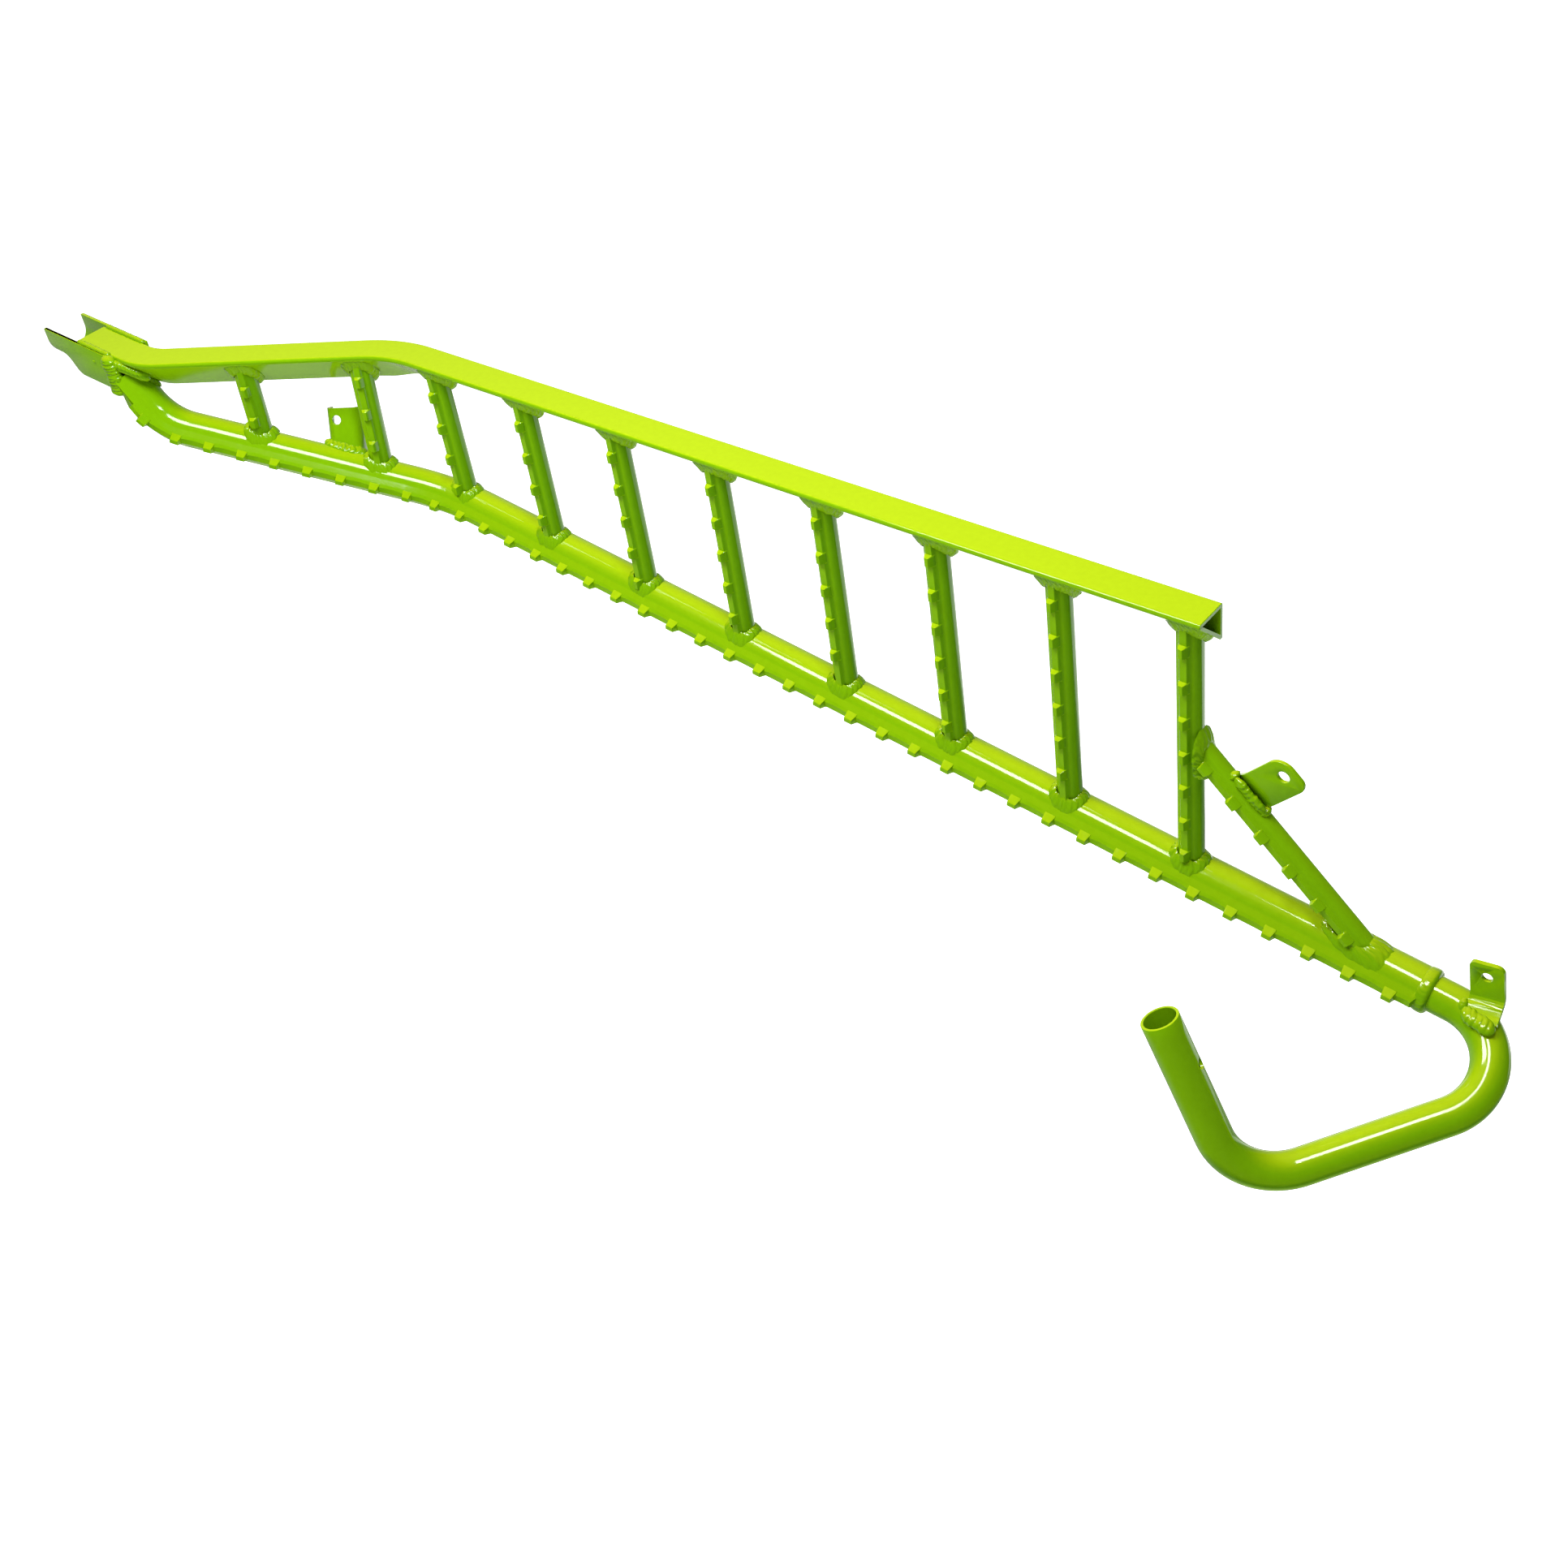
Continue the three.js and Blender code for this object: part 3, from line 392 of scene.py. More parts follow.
def rod(center, direction, radius, half_length):
    along = unit(direction)
    side = unit(np.cross(UP if abs(along[2]) < 0.9 else vec(1, 0, 0), along))
    up = np.cross(along, side)
    return skin([place(circle(radius, 40), Frame(center + along * t, along, side, up))
                 for t in (-half_length, half_length)])


# ---- weld beads -----------------------------------------------------------------------------
def wobble(x, seed):
    """Slow unevenness of a hand-laid bead."""
    return (0.5 * sin(x * 1.7 + seed * 3.1) + 0.3 * sin(x * 3.9 + seed * 7.7)
            + 0.2 * sin(x * 7.3 + seed * 1.3))


def coin(phase):
    """Stack-of-coins height, 0 at the valleys and 1 on the crowns, steeper on one side."""
    x = phase - floor(phase)
    return (sin(pi / 2 * x / 0.68) if x < 0.68 else cos(pi / 2 * (x - 0.68) / 0.32)) ** 0.8


def resample(profile, n):
    p = np.asarray(profile, float)
    closed = np.vstack([p, p[:1]])
    steps = np.linalg.norm(np.diff(closed, axis=0), axis=1)
    lengths = np.concatenate([[0], np.cumsum(steps)])
    t = np.linspace(0, lengths[-1], n, endpoint=False)
    return np.stack([np.interp(t, lengths, closed[:, 0]), np.interp(t, lengths, closed[:, 1])], 1)


def outward_normals(p):
    tangent = np.roll(p, -1, 0) - np.roll(p, 1, 0)
    tangent /= np.linalg.norm(tangent, axis=1)[:, None]
    normals = np.stack([tangent[:, 1], -tangent[:, 0]], 1)
    return -normals if ((p - p.mean(0)) * normals).sum() < 0 else normals


def ring_bead(profile, point, wide, tall, n=210, pitch=2.5, amp=0.55, seed=0.0, flare=None,
              bulge=0.55, stop=1.0):
    """Rippled fillet round an outline; stop below 1 ends it part of the way round.

    point(a, b, d) gives the 3-D place d off the surface the outline stands on. flare(normal)
    gives factors on width and height. amp is the ripple's height.
    """
    m = 11  # points across the bead
    outline = resample(profile, n)
    normals = outward_normals(outline)
    steps = np.linalg.norm(np.roll(outline, -1, 0) - outline, axis=1)
    lengths = np.concatenate([[0], np.cumsum(steps)])
    count = max(6, round(lengths[-1] / pitch))
    rings = []
    for i in range(int(n * stop)):
        u = lengths[i] / lengths[-1] * count
        big = 1 + 0.10 * wobble(u * 0.9, seed) + 0.06 * wobble(u * 2.3, seed + 2)
        wider, taller = flare(normals[i]) if flare else (1, 1)
        width, height = wide * big * wider, tall * big * taller
        slant = hypot(width, height)
        row = []
        for j in range(m):
            v = j / (m - 1)
            angle = v * pi / 2
            ripple = amp * (coin(u + 0.75 * (2 * v - 1) ** 2) - 0.55) * (1 - (2 * v - 1) ** 6)
            off = width * ((1 - bulge) * v + bulge * sin(angle)) + ripple * height / slant
            d = height * ((1 - bulge) * (1 - v) + bulge * cos(angle)) + ripple * width / slant
            # both edges sink a little into the metal
            if j == 0:
                off, d = -0.3, height
            if j == m - 1:
                d = -0.35
            row.append(point(*(outline[i] + normals[i] * off), d))
        row.append(point(*(outline[i] - normals[i] * 0.9), -0.5))
        rings.append(np.array(row))
    return skin(rings, loop=stop == 1.0)


def path_bead(points, across, out, wide, tall, pitch=2.6, amp=0.5, seed=0.0, taper=1.5):
    """Rippled bead along a polyline with rounded ends.

    wide is the half-width along across and tall the height along out.
    """
    m, step = 18, 0.3  # points round the bead, spacing of its rings
    points = np.asarray(points, float)
    spans = np.linalg.norm(np.diff(points, axis=0), axis=1)
    lengths = np.concatenate([[0], np.cumsum(spans)])
    total = lengths[-1]
    n = max(12, int(total / step))
    count = max(2, round(total / pitch))
    across, out = unit(across), unit(out)
    rings = []
    for i in range(n + 1):
        s = total * i / n
        center = np.array([np.interp(s, lengths, points[:, k]) for k in range(3)])
        u = s / total * count
        inset = min(1.0, min(s, total - s) / (taper * wide))
        end = sqrt(max(0.0, 1 - (1 - inset) ** 2)) * 0.97 + 0.03
        big = (1 + 0.10 * wobble(u, seed)) * end
        row = []
        for j in range(m):
            angle = 2 * pi * j / m
            k = 1 + (amp / tall) * (coin(u + 0.55 * cos(angle) ** 2) - 0.55) * end
            row.append(center + across * wide * big * cos(angle) * (1 + 0.3 * (k - 1))
                       + out * tall * big * k * sin(angle))
        rings.append(np.array(row))
    return skin(rings)


# ---- inner rail -----------------------------------------------------------------------------
INNER_WALL, INNER_CORNER_R = 2.3, 1.5
INNER_KICK_X = -650.9
INNER_REAR_RUN = 70.5
INNER_TURN_R, INNER_KICK_R = 45.0, 95.0


def inner_section(grow, depth):
    """Flat top, shallow -Y side and deep +Y side, offset outwards by grow."""
    slope = -(depth - INNER_LIP) / INNER_WIDTH
    radius = max(0.35, INNER_CORNER_R + grow)
    left, right = -INNER_HALF - grow, INNER_HALF + grow

    def underside(x):
        return -INNER_LIP + slope * (x + INNER_HALF) - grow * hypot(1, slope)

    return rounded([(left, grow, radius), (left, underside(left), radius),
                    (right, underside(right), radius), (right, grow, radius)], 6, 0.3)


def inner_depth(x):
    """Depth of the rail, eased over 24 mm at the kick."""
    k = min(1.0, max(0.0, (INNER_KICK_X + 12 - x) / 24))
    k = k * k * (3 - 2 * k)
    return INNER_DEPTH + (INNER_DEPTH_REAR - INNER_DEPTH) * k


def inner_rail():
    path = rail_frames(round_path(
        [INNER_TURN - REAR_ALONG * INNER_REAR_RUN, INNER_TURN,
         vec(INNER_KICK_X, INNER_Y, 0), vec(0, INNER_Y, 0)],
        [INNER_TURN_R, INNER_KICK_R], straight=12))
    outside, inside = [[place(inner_section(grow, inner_depth(f.point[0])), f) for f in path]
                       for grow in (0, -INNER_WALL)]
    # the front rim is eased
    front = path[-1]
    set_back = front._replace(point=front.point - front.along * 0.4)
    outside[-1] = place(inner_section(0, INNER_DEPTH), set_back)
    rim = place(inner_section(-0.35, INNER_DEPTH), front)
    build("inner_rail_tube", [skin(outside + [rim] + inside[::-1], loop=True)], "inner_rail")


inner_rail()

# ---- outer rail -----------------------------------------------------------------------------
OUTER_BORE_R, OUTER_BORE_DEPTH = 11.4, 40
OUTER_TURN, OUTER_TIP = vec(-821.2, -82.6, -57.5), vec(-844.5, -88.0, -19.0)
RIB_FLOOR, RIB_TIP = 16.3, 20.5  # from the rail's axis
RIB_FLOOR_THICK, RIB_TIP_THICK = 4.5, 1.9
RAIL_TEETH, FIRST_TOOTH_X = 40, 123.4
TOOTH_HALF, TOOTH_FOOT = 2.9, 3.6  # half-lengths of a tooth at its tip and its foot
# distances from a tooth's middle at which sections are taken
TOOTH_STATIONS = (0, 1.4, TOOTH_HALF, TOOTH_FOOT, 3.86, 4.6, 5.6, 6.9, 8.5, 10.4, 12.7)

outer_path = rail_frames(round_path(
    [OUTER_TIP, OUTER_TURN, outer_at(OUTER_KICK_X), outer_at(OUTER_FRONT_X)], [50, 140]))
outer_lengths = lengths_along(outer_path)
outer_total = outer_lengths[-1]
first_tooth = outer_total - (OUTER_FRONT_X - FIRST_TOOTH_X) * hypot(1, OUTER_SLOPE)
rail_teeth = [first_tooth - TOOTH_PITCH * k for k in range(RAIL_TEETH)]


def rib_section(height, widen):
    """Tube with a wedge-shaped rib towards -side, cut off at height."""
    def half_thick(h):
        taper = (RIB_FLOOR_THICK - RIB_TIP_THICK) / (RIB_TIP - RIB_FLOOR)
        return (RIB_FLOOR_THICK - (h - RIB_FLOOR) * taper) / 2

    join = radians(148)  # where the rib leaves the tube
    out = []
    for k in range(57):
        angle = -join + 2 * join * k / 56
        out.append((OUTER_R * cos(angle), OUTER_R * sin(angle)))
    p0 = np.array([OUTER_R * cos(join), OUTER_R * sin(join)])
    p1, p2 = np.array([-13.0, 5.4]), np.array([-14.8, 3.65])
    flank = []
    for k in range(1, 8):
        t = k / 7
        flank.append((1 - t) ** 2 * p0 + 2 * t * (1 - t) * p1 + t * t * p2)
    flank.append((-height + 0.35, half_thick(height - 0.35) + 0.75 * widen))
    flank.append((-height, half_thick(height) - 0.25 + 0.75 * widen))
    out += [tuple(p) for p in flank]
    out += [(p[0], -p[1]) for p in reversed(flank)]
    return np.array(out)


def rib_height(s):
    """Height of the rib at distance s, and how far it is widened there (0 to 1)."""
    d = min(abs(s - tooth) for tooth in rail_teeth)
    if d <= TOOTH_HALF:
        return RIB_TIP, 1.0
    if d <= TOOTH_FOOT:
        return RIB_TIP - (RIB_TIP - RIB_FLOOR) * (d - TOOTH_HALF) / 0.7, 1.0
    widen = max(0.0, 1 - (d - TOOTH_FOOT) / 0.25)
    half_pitch = TOOTH_PITCH / 2
    if not rail_teeth[-1] - half_pitch < s < rail_teeth[0] + half_pitch:
        return RIB_FLOOR, widen
    # the floor dips between teeth
    k = (d - TOOTH_FOOT) / (half_pitch - TOOTH_FOOT)
    return RIB_FLOOR - 0.55 * sin(pi / 2 * min(1, max(0, k - 0.05) / 0.95)), widen


def outer_stations():
    stations = set(np.round(outer_lengths, 3))
    for tooth in rail_teeth:
        for d in TOOTH_STATIONS:
            stations |= {round(tooth - d, 3), round(tooth + d, 3)}
    stations = sorted(s for s in stations if 0 <= s <= outer_total)
    kept = [stations[0]]
    for s in stations[1:]:
        if s - kept[-1] > 0.12:
            kept.append(s)
    return kept


def outer_rail():
    rings = [place(rib_section(*rib_height(s)), frame_at(outer_path, outer_lengths, s))
             for s in outer_stations()]
    # the tube's flank is dressed flat where it passes behind the saddle's ear
    for ring in rings:
        off = (ring - INNER_TURN) @ REAR_SIDE
        limit = (-SADDLE_HALF + SADDLE_THICK - 0.2 - np.clip((ring[:, 0] + 842) / 6, 0, 1) * 9
                 - np.maximum(0, -28 - ring[:, 2]) * 3)
        ring += np.maximum(0, limit - off)[:, None] * REAR_SIDE * (ring[:, 0] < -836)[:, None]
    n = len(rings[0])
    bore = [(OUTER_BORE_R * cos(t), OUTER_BORE_R * sin(t))
            for t in np.linspace(-pi, pi, n, endpoint=False)]
    for s in (outer_total, outer_total - OUTER_BORE_DEPTH):
        rings.append(place(bore, frame_at(outer_path, outer_lengths, s)))
    verts, faces = skin(rings, caps=False)
    faces += [tuple(range(n)), tuple(range(len(verts) - n, len(verts)))]
    build("outer_rail_tube", [(verts, faces)], "outer_rail", smooth=18)


outer_rail()

# ---- rungs ----------------------------------------------------------------------------------
RUNG_HALF_WIDE, RUNG_HALF_THICK, RUNG_CORNER_R = 8.0, 5.8, 5.1
LAND_FLOOR, LAND_TIP = 8.2, 11.3  # from the rung's axis
LAND_FLOOR_HALF, LAND_TIP_HALF = 2.35, 0.85  # half-thickness
LAND_JOIN = 4.1  # half-width where the land leaves the tube
LAND_TOOTH_HALF, LAND_TOOTH_FOOT = 3.1, 4.1
RUNG_TOP_Z = -4
# Rungs on the kicked run: (top x, y), (foot x, y), z of the top tooth, number of teeth
KICK_RUNGS = [
    ((-753.2, -47.4), (-755.1, -48.7), -27.0, 2),
    ((-676.2, -2.9), (-675.8, -10.2), -22.5, 3),
]
# Rungs on the straight run: x, z of the top tooth, number of teeth
STRAIGHT_RUNGS = [
    (-611.6, -26.2, 4), (-525.9, -25.7, 4), (-440.1, -25.1, 5), (-354.3, -24.2, 5),
    (-268.5, -22.3, 5), (-183.0, -21.0, 6), (-97.7, -23.4, 6), (-12.9, -24.6, 7),
]


def flat_tube(bottom, segments):
    """Flattened tube outline that reaches bottom towards -Y."""
    wide, thick, radius = RUNG_HALF_WIDE, RUNG_HALF_THICK, RUNG_CORNER_R
    return rounded([(wide, thick, radius), (-wide, thick, radius),
                    (-wide, -bottom, radius), (wide, -bottom, radius)], segments)


bead_outline = flat_tube(RUNG_HALF_THICK + 1.6, 8)


def rung_section(height, widen):
    """Flattened tube with a wedge-shaped toothed land towards -Y, cut off at height."""
    def half(h):
        taper = (LAND_FLOOR_HALF - LAND_TIP_HALF) / (LAND_TIP - LAND_FLOOR)
        return LAND_FLOOR_HALF - (h - LAND_FLOOR) * taper

    body = [p for p in flat_tube(RUNG_HALF_THICK, 9)
            if not (p[1] < 0 and abs(p[0]) < LAND_JOIN + 0.1)]
    gap = next(i for i, p in enumerate(body)
               if p[1] < 0 and p[0] < 0 and body[(i + 1) % len(body)][0] > 0)
    radius = RUNG_CORNER_R
    join_y = -(RUNG_HALF_THICK - radius) - sqrt(
        radius ** 2 - (LAND_JOIN - (RUNG_HALF_WIDE - radius)) ** 2)
    left = [(-LAND_JOIN, join_y),
            (-3.35, -LAND_FLOOR + 1.75),
            (-half(LAND_FLOOR - 0.9) - 0.45 * widen, -LAND_FLOOR + 0.9),
            (-half(height - 0.25) - 0.55 * widen, -height + 0.25),
            (-half(height) + 0.2 - 0.55 * widen, -height)]
    body[gap + 1:gap + 1] = left + [(-a, b) for a, b in reversed(left)]
    return np.array(body)


def land_height(t, teeth):
    d = min(abs(t - tooth) for tooth in teeth)
    if d <= LAND_TOOTH_HALF:
        return LAND_TIP
    if d <= LAND_TOOTH_FOOT:
        return LAND_TIP - (LAND_TIP - LAND_FLOOR) * (d - LAND_TOOTH_HALF)
    return LAND_FLOOR


def toothed_bar(name, node, point, teeth, low, high, t0, t1):
    """A toothed bar from t0 to t1; point(a, b, t) places it.

    low(a, b) and high(a, b) end each lengthwise line just inside the surfaces it meets.
    """
    stations = {t0, t1} | set(np.arange(t0, t1, 6.0))
    for tooth in teeth:
        for d in (0, 1.5, LAND_TOOTH_HALF, 3.6, LAND_TOOTH_FOOT, 4.3, 6, 8):
            stations |= {tooth - d, tooth + d}
    rings = []
    for s in sorted(s for s in stations if t0 <= s <= t1):
        height = land_height(s, teeth)
        section = rung_section(height, 1.0 if height > LAND_FLOOR + 0.1 else 0.0)
        lows = np.array([low(a, b) for a, b in section])
        highs = np.array([high(a, b) for a, b in section])
        rings.append(point(section[:, :1], section[:, 1:2], np.clip(s, lows, highs)[:, None]))
    build(name, [skin(rings)], node, smooth=30)


def head_flare(normal):
    """Head beads spread along the rail's underside, more towards +Y."""
    spread = abs(normal[0])
    return 1.0 + 0.35 * spread, 1.0 + 0.15 * spread + 0.25 * max(0, normal[1])


def rung(number, foot, top, heading, tooth_z, tooth_count, slope, depth):
    """Toothed rung with a bead at each end.

    slope is the outer rail's rise along the heading and depth the inner rail's.
    """
    name = "rung_%02d" % number
    along = unit(top - foot)
    thin = unit(np.cross(along, heading))
    wide = unit(np.cross(thin, along))
    point = axes_at(foot, wide, thin, along)

    def to_z(z):
        return (z - foot[2]) / along[2]

    def underside(b):
        return -INNER_LIP - (depth - INNER_LIP) * (b + INNER_HALF) / INNER_WIDTH

    def on_tube(a, b):
        return slope * a + sqrt(max(4.0, OUTER_R ** 2 - b * b))

    def at_head(a, b, d):
        return point(a, b, to_z(max(-26.5, min(underside(b), -2.5)) - d))

    toothed_bar(name + "_tube", name, point,
                [to_z(tooth_z - TOOTH_PITCH * k) for k in range(tooth_count)],
                lambda a, b: on_tube(a, b) - 1.0,
                lambda a, b: to_z(min(underside(b) + 1.0, -1.2)),
                to_z(foot[2] - 4), to_z(-3))
    weld(name + "_head_bead",
         [ring_bead(bead_outline, at_head, wide=3.6, tall=4.4, pitch=2.7, seed=number * 1.3,
                    flare=head_flare, bulge=0.12)], "weld_" + name + "_top")
    weld(name + "_foot_bead",
         [ring_bead(bead_outline, lambda a, b, d: point(a, b, on_tube(a, b) + d), wide=4.3,
                    tall=3.9, pitch=2.6, amp=0.6, seed=number * 2.1 + 5)],
         "weld_" + name + "_foot")


kick_slope = -OUTER_KICK_RISE / hypot(1, tan(radians(OUTER_KICK)))
for i, (top, foot, tooth_z, tooth_count) in enumerate(KICK_RUNGS):
    rung(i + 1, vec(*foot, outer_kick_at(foot[0])[2]), vec(*top, RUNG_TOP_Z), KICK_ALONG,
         tooth_z, tooth_count, kick_slope, INNER_DEPTH_REAR)
for i, (x, tooth_z, tooth_count) in enumerate(STRAIGHT_RUNGS):
    rung(i + 3, outer_at(x), vec(x, OUTER_Y, RUNG_TOP_Z), vec(1, 0, 0),
         tooth_z, tooth_count, OUTER_SLOPE, INNER_DEPTH)

# ---- diagonal brace, from the front rung down and forward to the outer rail ------------------
BRACE_X, BRACE_Z, BRACE_ANGLE = -11.3, -92.8, 44.2
BRACE_FIRST_TOOTH, BRACE_TEETH = 16.3, 6

brace_along = vec(-cos(radians(BRACE_ANGLE)), 0, sin(radians(BRACE_ANGLE)))
brace_thin = vec(0, 1, 0)
brace_wide = unit(np.cross(brace_thin, brace_along))
brace_start = vec(BRACE_X, OUTER_Y, BRACE_Z)
brace_at = axes_at(brace_start, brace_wide, brace_thin, brace_along)


def brace_to_rail(a, b):
    """Distance down the brace to the outer rail's surface."""
    down = -brace_along
    offset = axes_at(brace_start, brace_wide, brace_thin)(a, b) - outer_at(0)
    offset = offset - OUTER_ALONG * (offset @ OUTER_ALONG)
    down = down - OUTER_ALONG * (down @ OUTER_ALONG)
    qa, qb, qc = down @ down, 2 * offset @ down, offset @ offset - OUTER_R ** 2
    return (-qb - sqrt(max(0.0, qb * qb - 4 * qa * qc))) / (2 * qa)


def brace_to_rung(a):
    """Distance up the brace to the front side of the front rung."""
    front = STRAIGHT_RUNGS[-1][0] + RUNG_HALF_WIDE
    return (front - brace_start[0] - a * brace_wide[0]) / brace_along[0]


toothed_bar("brace_tube", "diagonal_brace", brace_at,
            [-(BRACE_FIRST_TOOTH + TOOTH_PITCH * k) for k in range(BRACE_TEETH)],
            lambda a, b: -(brace_to_rail(a, b) + 1.0),
            lambda a, b: brace_to_rung(a) + 2.4, -175, 10)
weld("brace_head_bead",
     [ring_bead(bead_outline, lambda a, b, d: brace_at(a, b, brace_to_rung(a) - d + 0.2),
                wide=4.4, tall=6.2, pitch=3.2, amp=0.7, seed=3.3, bulge=0.35)],
     "weld_brace_top")
weld("brace_foot_bead",
     [ring_bead(bead_outline, lambda a, b, d: brace_at(a, b, d - brace_to_rail(a, b)),
                wide=4.6, tall=5.4, pitch=3.0, amp=0.75, seed=8.3, bulge=0.5)],
     "weld_brace_foot")


# ---- tabs -----------------------------------------------------------------------------------
def bent_plate(point, line, thickness, half_width):
    """Plate whose mid-line [u, n] is swept across its width; point(u, n, w) places it."""
    n = len(line)
    before = line[[max(0, i - 1) for i in range(n)]]
    after = line[[min(n - 1, i + 1) for i in range(n)]]
    d = after - before
    d /= np.linalg.norm(d, axis=1)[:, None]
    offset = np.stack([-d[:, 1], d[:, 0]], 1) * thickness / 2
    outline = np.vstack([line + offset, (line - offset)[::-1]])
    return skin([point(outline[:, :1], outline[:, 1:2], w) for w in (-half_width, half_width)])


def corner_cut(origin, rise, across, end, edge, sign, radius):
    """Cutter that rounds the plate corner at (end, edge); sign is the side it lies on."""
    points = [(end + 1.5, edge + sign * 1.5), (end - radius, edge + sign * 1.5),
              (end - radius, edge)]
    for k in range(1, 12):
        angle = pi / 2 * k / 12
        points.append((end - radius + radius * sin(angle),
                       edge - sign * radius + sign * radius * cos(angle)))
    points += [(end, edge - sign * radius), (end + 1.5, edge - sign * radius)]
    points = np.array(points)
    point = axes_at(origin, rise, across, np.cross(rise, across))
    return skin([point(points[:, :1], points[:, 1:2], t) for t in (-8, 8)])


def tab_plate(name, node, origin, rise, across, normal, line, thickness, half_width, radii,
              hole):
    """Bent tab with its two free corners rounded by radii and a hole."""
    end = line[-1][0]
    corners = [corner_cut(origin, rise, across, end, sign * half_width, sign, radius)
               for sign, radius in zip((1, -1), radii)]
    plate = bent_plate(axes_at(origin, rise, normal, across), line, thickness, half_width)
    build(name, [plate], node, bevel=0.35, cutters=corners + [hole])


# Tab that stands on the brace
TAB_DOWN_BRACE = 43.4
TAB_HALF, TAB_THICK, TAB_END = 12.0, 2.5, 47.0
TAB_HOLE_DIA, TAB_HOLE_RISE, TAB_HOLE_SHIFT = 7.6, 38.2, 0.6
TAB_BEND = [(7.6, -3.9), (12.2, -1.5), (15.0, -0.45), (17.6, 0)]  # rise, offset along normal

tab_origin = brace_start - brace_along * TAB_DOWN_BRACE
tab_rise, tab_across, tab_normal = brace_wide, brace_along, vec(0, -1, 0)
tab_at = axes_at(tab_origin, tab_rise, tab_across, tab_normal)
tab_plate("brace_tab_plate", "brace_tab", tab_origin, tab_rise, tab_across, tab_normal,
          np.vstack([smooth_line(TAB_BEND, 6), [(TAB_END, 0)]]), TAB_THICK, TAB_HALF,
          radii=(10.5, 6),
          hole=rod(tab_at(TAB_HOLE_RISE, TAB_HOLE_SHIFT), vec(0, 1, 0), TAB_HOLE_DIA / 2, 5))
weld("brace_tab_bead", [
    path_bead([tab_at(9.2, -TAB_HALF - 2.5, 2.0), tab_at(9.0, 0, 2.6),
               tab_at(9.2, TAB_HALF + 1.5, 2.4)],
              tab_rise * 0.8 + tab_normal * 0.45, tab_normal * 0.8 - tab_rise * 0.5,
              wide=5.2, tall=2.6, pitch=3.4, amp=0.4, seed=1.0),
    path_bead([tab_at(8.6, -TAB_HALF - 4.4, 0.2), tab_at(8.8, -TAB_HALF + 1.5, 0.2)],
              tab_normal, tab_rise, wide=4.4, tall=4.6, pitch=3.2, seed=2.0),
    path_bead([tab_at(8.4, TAB_HALF - 1.0, 0.4), tab_at(8.2, TAB_HALF + 4.6, 0.6)],
              tab_normal, tab_rise, wide=4.4, tall=4.2, pitch=3.2, seed=6.0),
], "weld_brace_tab")

# ---- toe loop, out of the outer rail's mouth and bent twice ----------------------------------
TOE_R, TOE_BORE_R = 11.1, 9.3
TOE_INSERT = 22.0  # length inside the outer rail
TOE_BEND_X = 155.0
TOE_R1, TOE_RUN1, TOE_R2, TOE_RUN2 = 36.5, 83.2, 40.5, 82.4  # bend radii, straight runs
toe_d1 = unit((-0.6668, -0.7119, -0.2204))
toe_d2 = unit((-0.4138, 0.0151, 0.9102))
TOE_HOLE_DIA, TOE_HOLE_BACK = 7.0, 33.6
# The hole's axis is swung round the tube by TOE_HOLE_SWING from this direction
TOE_HOLE_FROM, TOE_HOLE_SWING = vec(0.5398, -0.5364, 0.6488), radians(62)


def toe_loop():
    reach1 = TOE_R1 * tan(acos(OUTER_ALONG @ toe_d1) / 2)
    reach2 = TOE_R2 * tan(acos(toe_d1 @ toe_d2) / 2)
    corner1 = outer_at(TOE_BEND_X) + OUTER_ALONG * reach1
    corner2 = corner1 + toe_d1 * (reach1 + TOE_RUN1 + reach2)
    end = corner2 + toe_d2 * (reach2 + TOE_RUN2)
    path = round_path([outer_at(OUTER_FRONT_X) - OUTER_ALONG * TOE_INSERT, corner1, corner2, end],
                      [TOE_R1, TOE_R2], 2.5, 8)
    # the side direction is carried along the path so that the tube doesn't twist
    side = side_and_up(path[0].along)[0]
    frames = []
    for f in path:
        side = unit(side - f.along * (side @ f.along))
        frames.append(Frame(f.point, f.along, side, unit(np.cross(f.along, side))))
    last = frames[-1]

    def end_ring(radius, back):
        return place(circle(radius), last._replace(point=last.point - last.along * back))

    outside = [place(circle(TOE_R), f) for f in frames[:-1]] + [end_ring(TOE_R, 0.5)]
    rim = [end_ring(TOE_R - 0.15, 0.15), end_ring(TOE_R - 0.5, 0), end_ring(TOE_BORE_R + 0.25, 0)]
    inside = [place(circle(TOE_BORE_R), f) for f in frames[:-1]] + [end_ring(TOE_BORE_R, 0.3)]
    across = unit(TOE_HOLE_FROM - toe_d2 * (TOE_HOLE_FROM @ toe_d2))
    swing = unit(np.cross(toe_d2, across))
    hole_axis = unit(across * cos(TOE_HOLE_SWING) + swing * sin(TOE_HOLE_SWING))
    hole_center = end - toe_d2 * TOE_HOLE_BACK + hole_axis * 11
    build("toe_loop_tube", [skin(outside + rim + inside[::-1], loop=True)], "toe_loop",
          smooth=32, cutters=[rod(hole_center, hole_axis, TOE_HOLE_DIA / 2, 7)])


toe_loop()

# Bead round the mouth of the outer rail: start and length along the axis, ripples, inner radius
MOUTH_START, MOUTH_LENGTH, MOUTH_RIPPLES, MOUTH_INNER_R = -5.2, 7.9, 28, 10.9


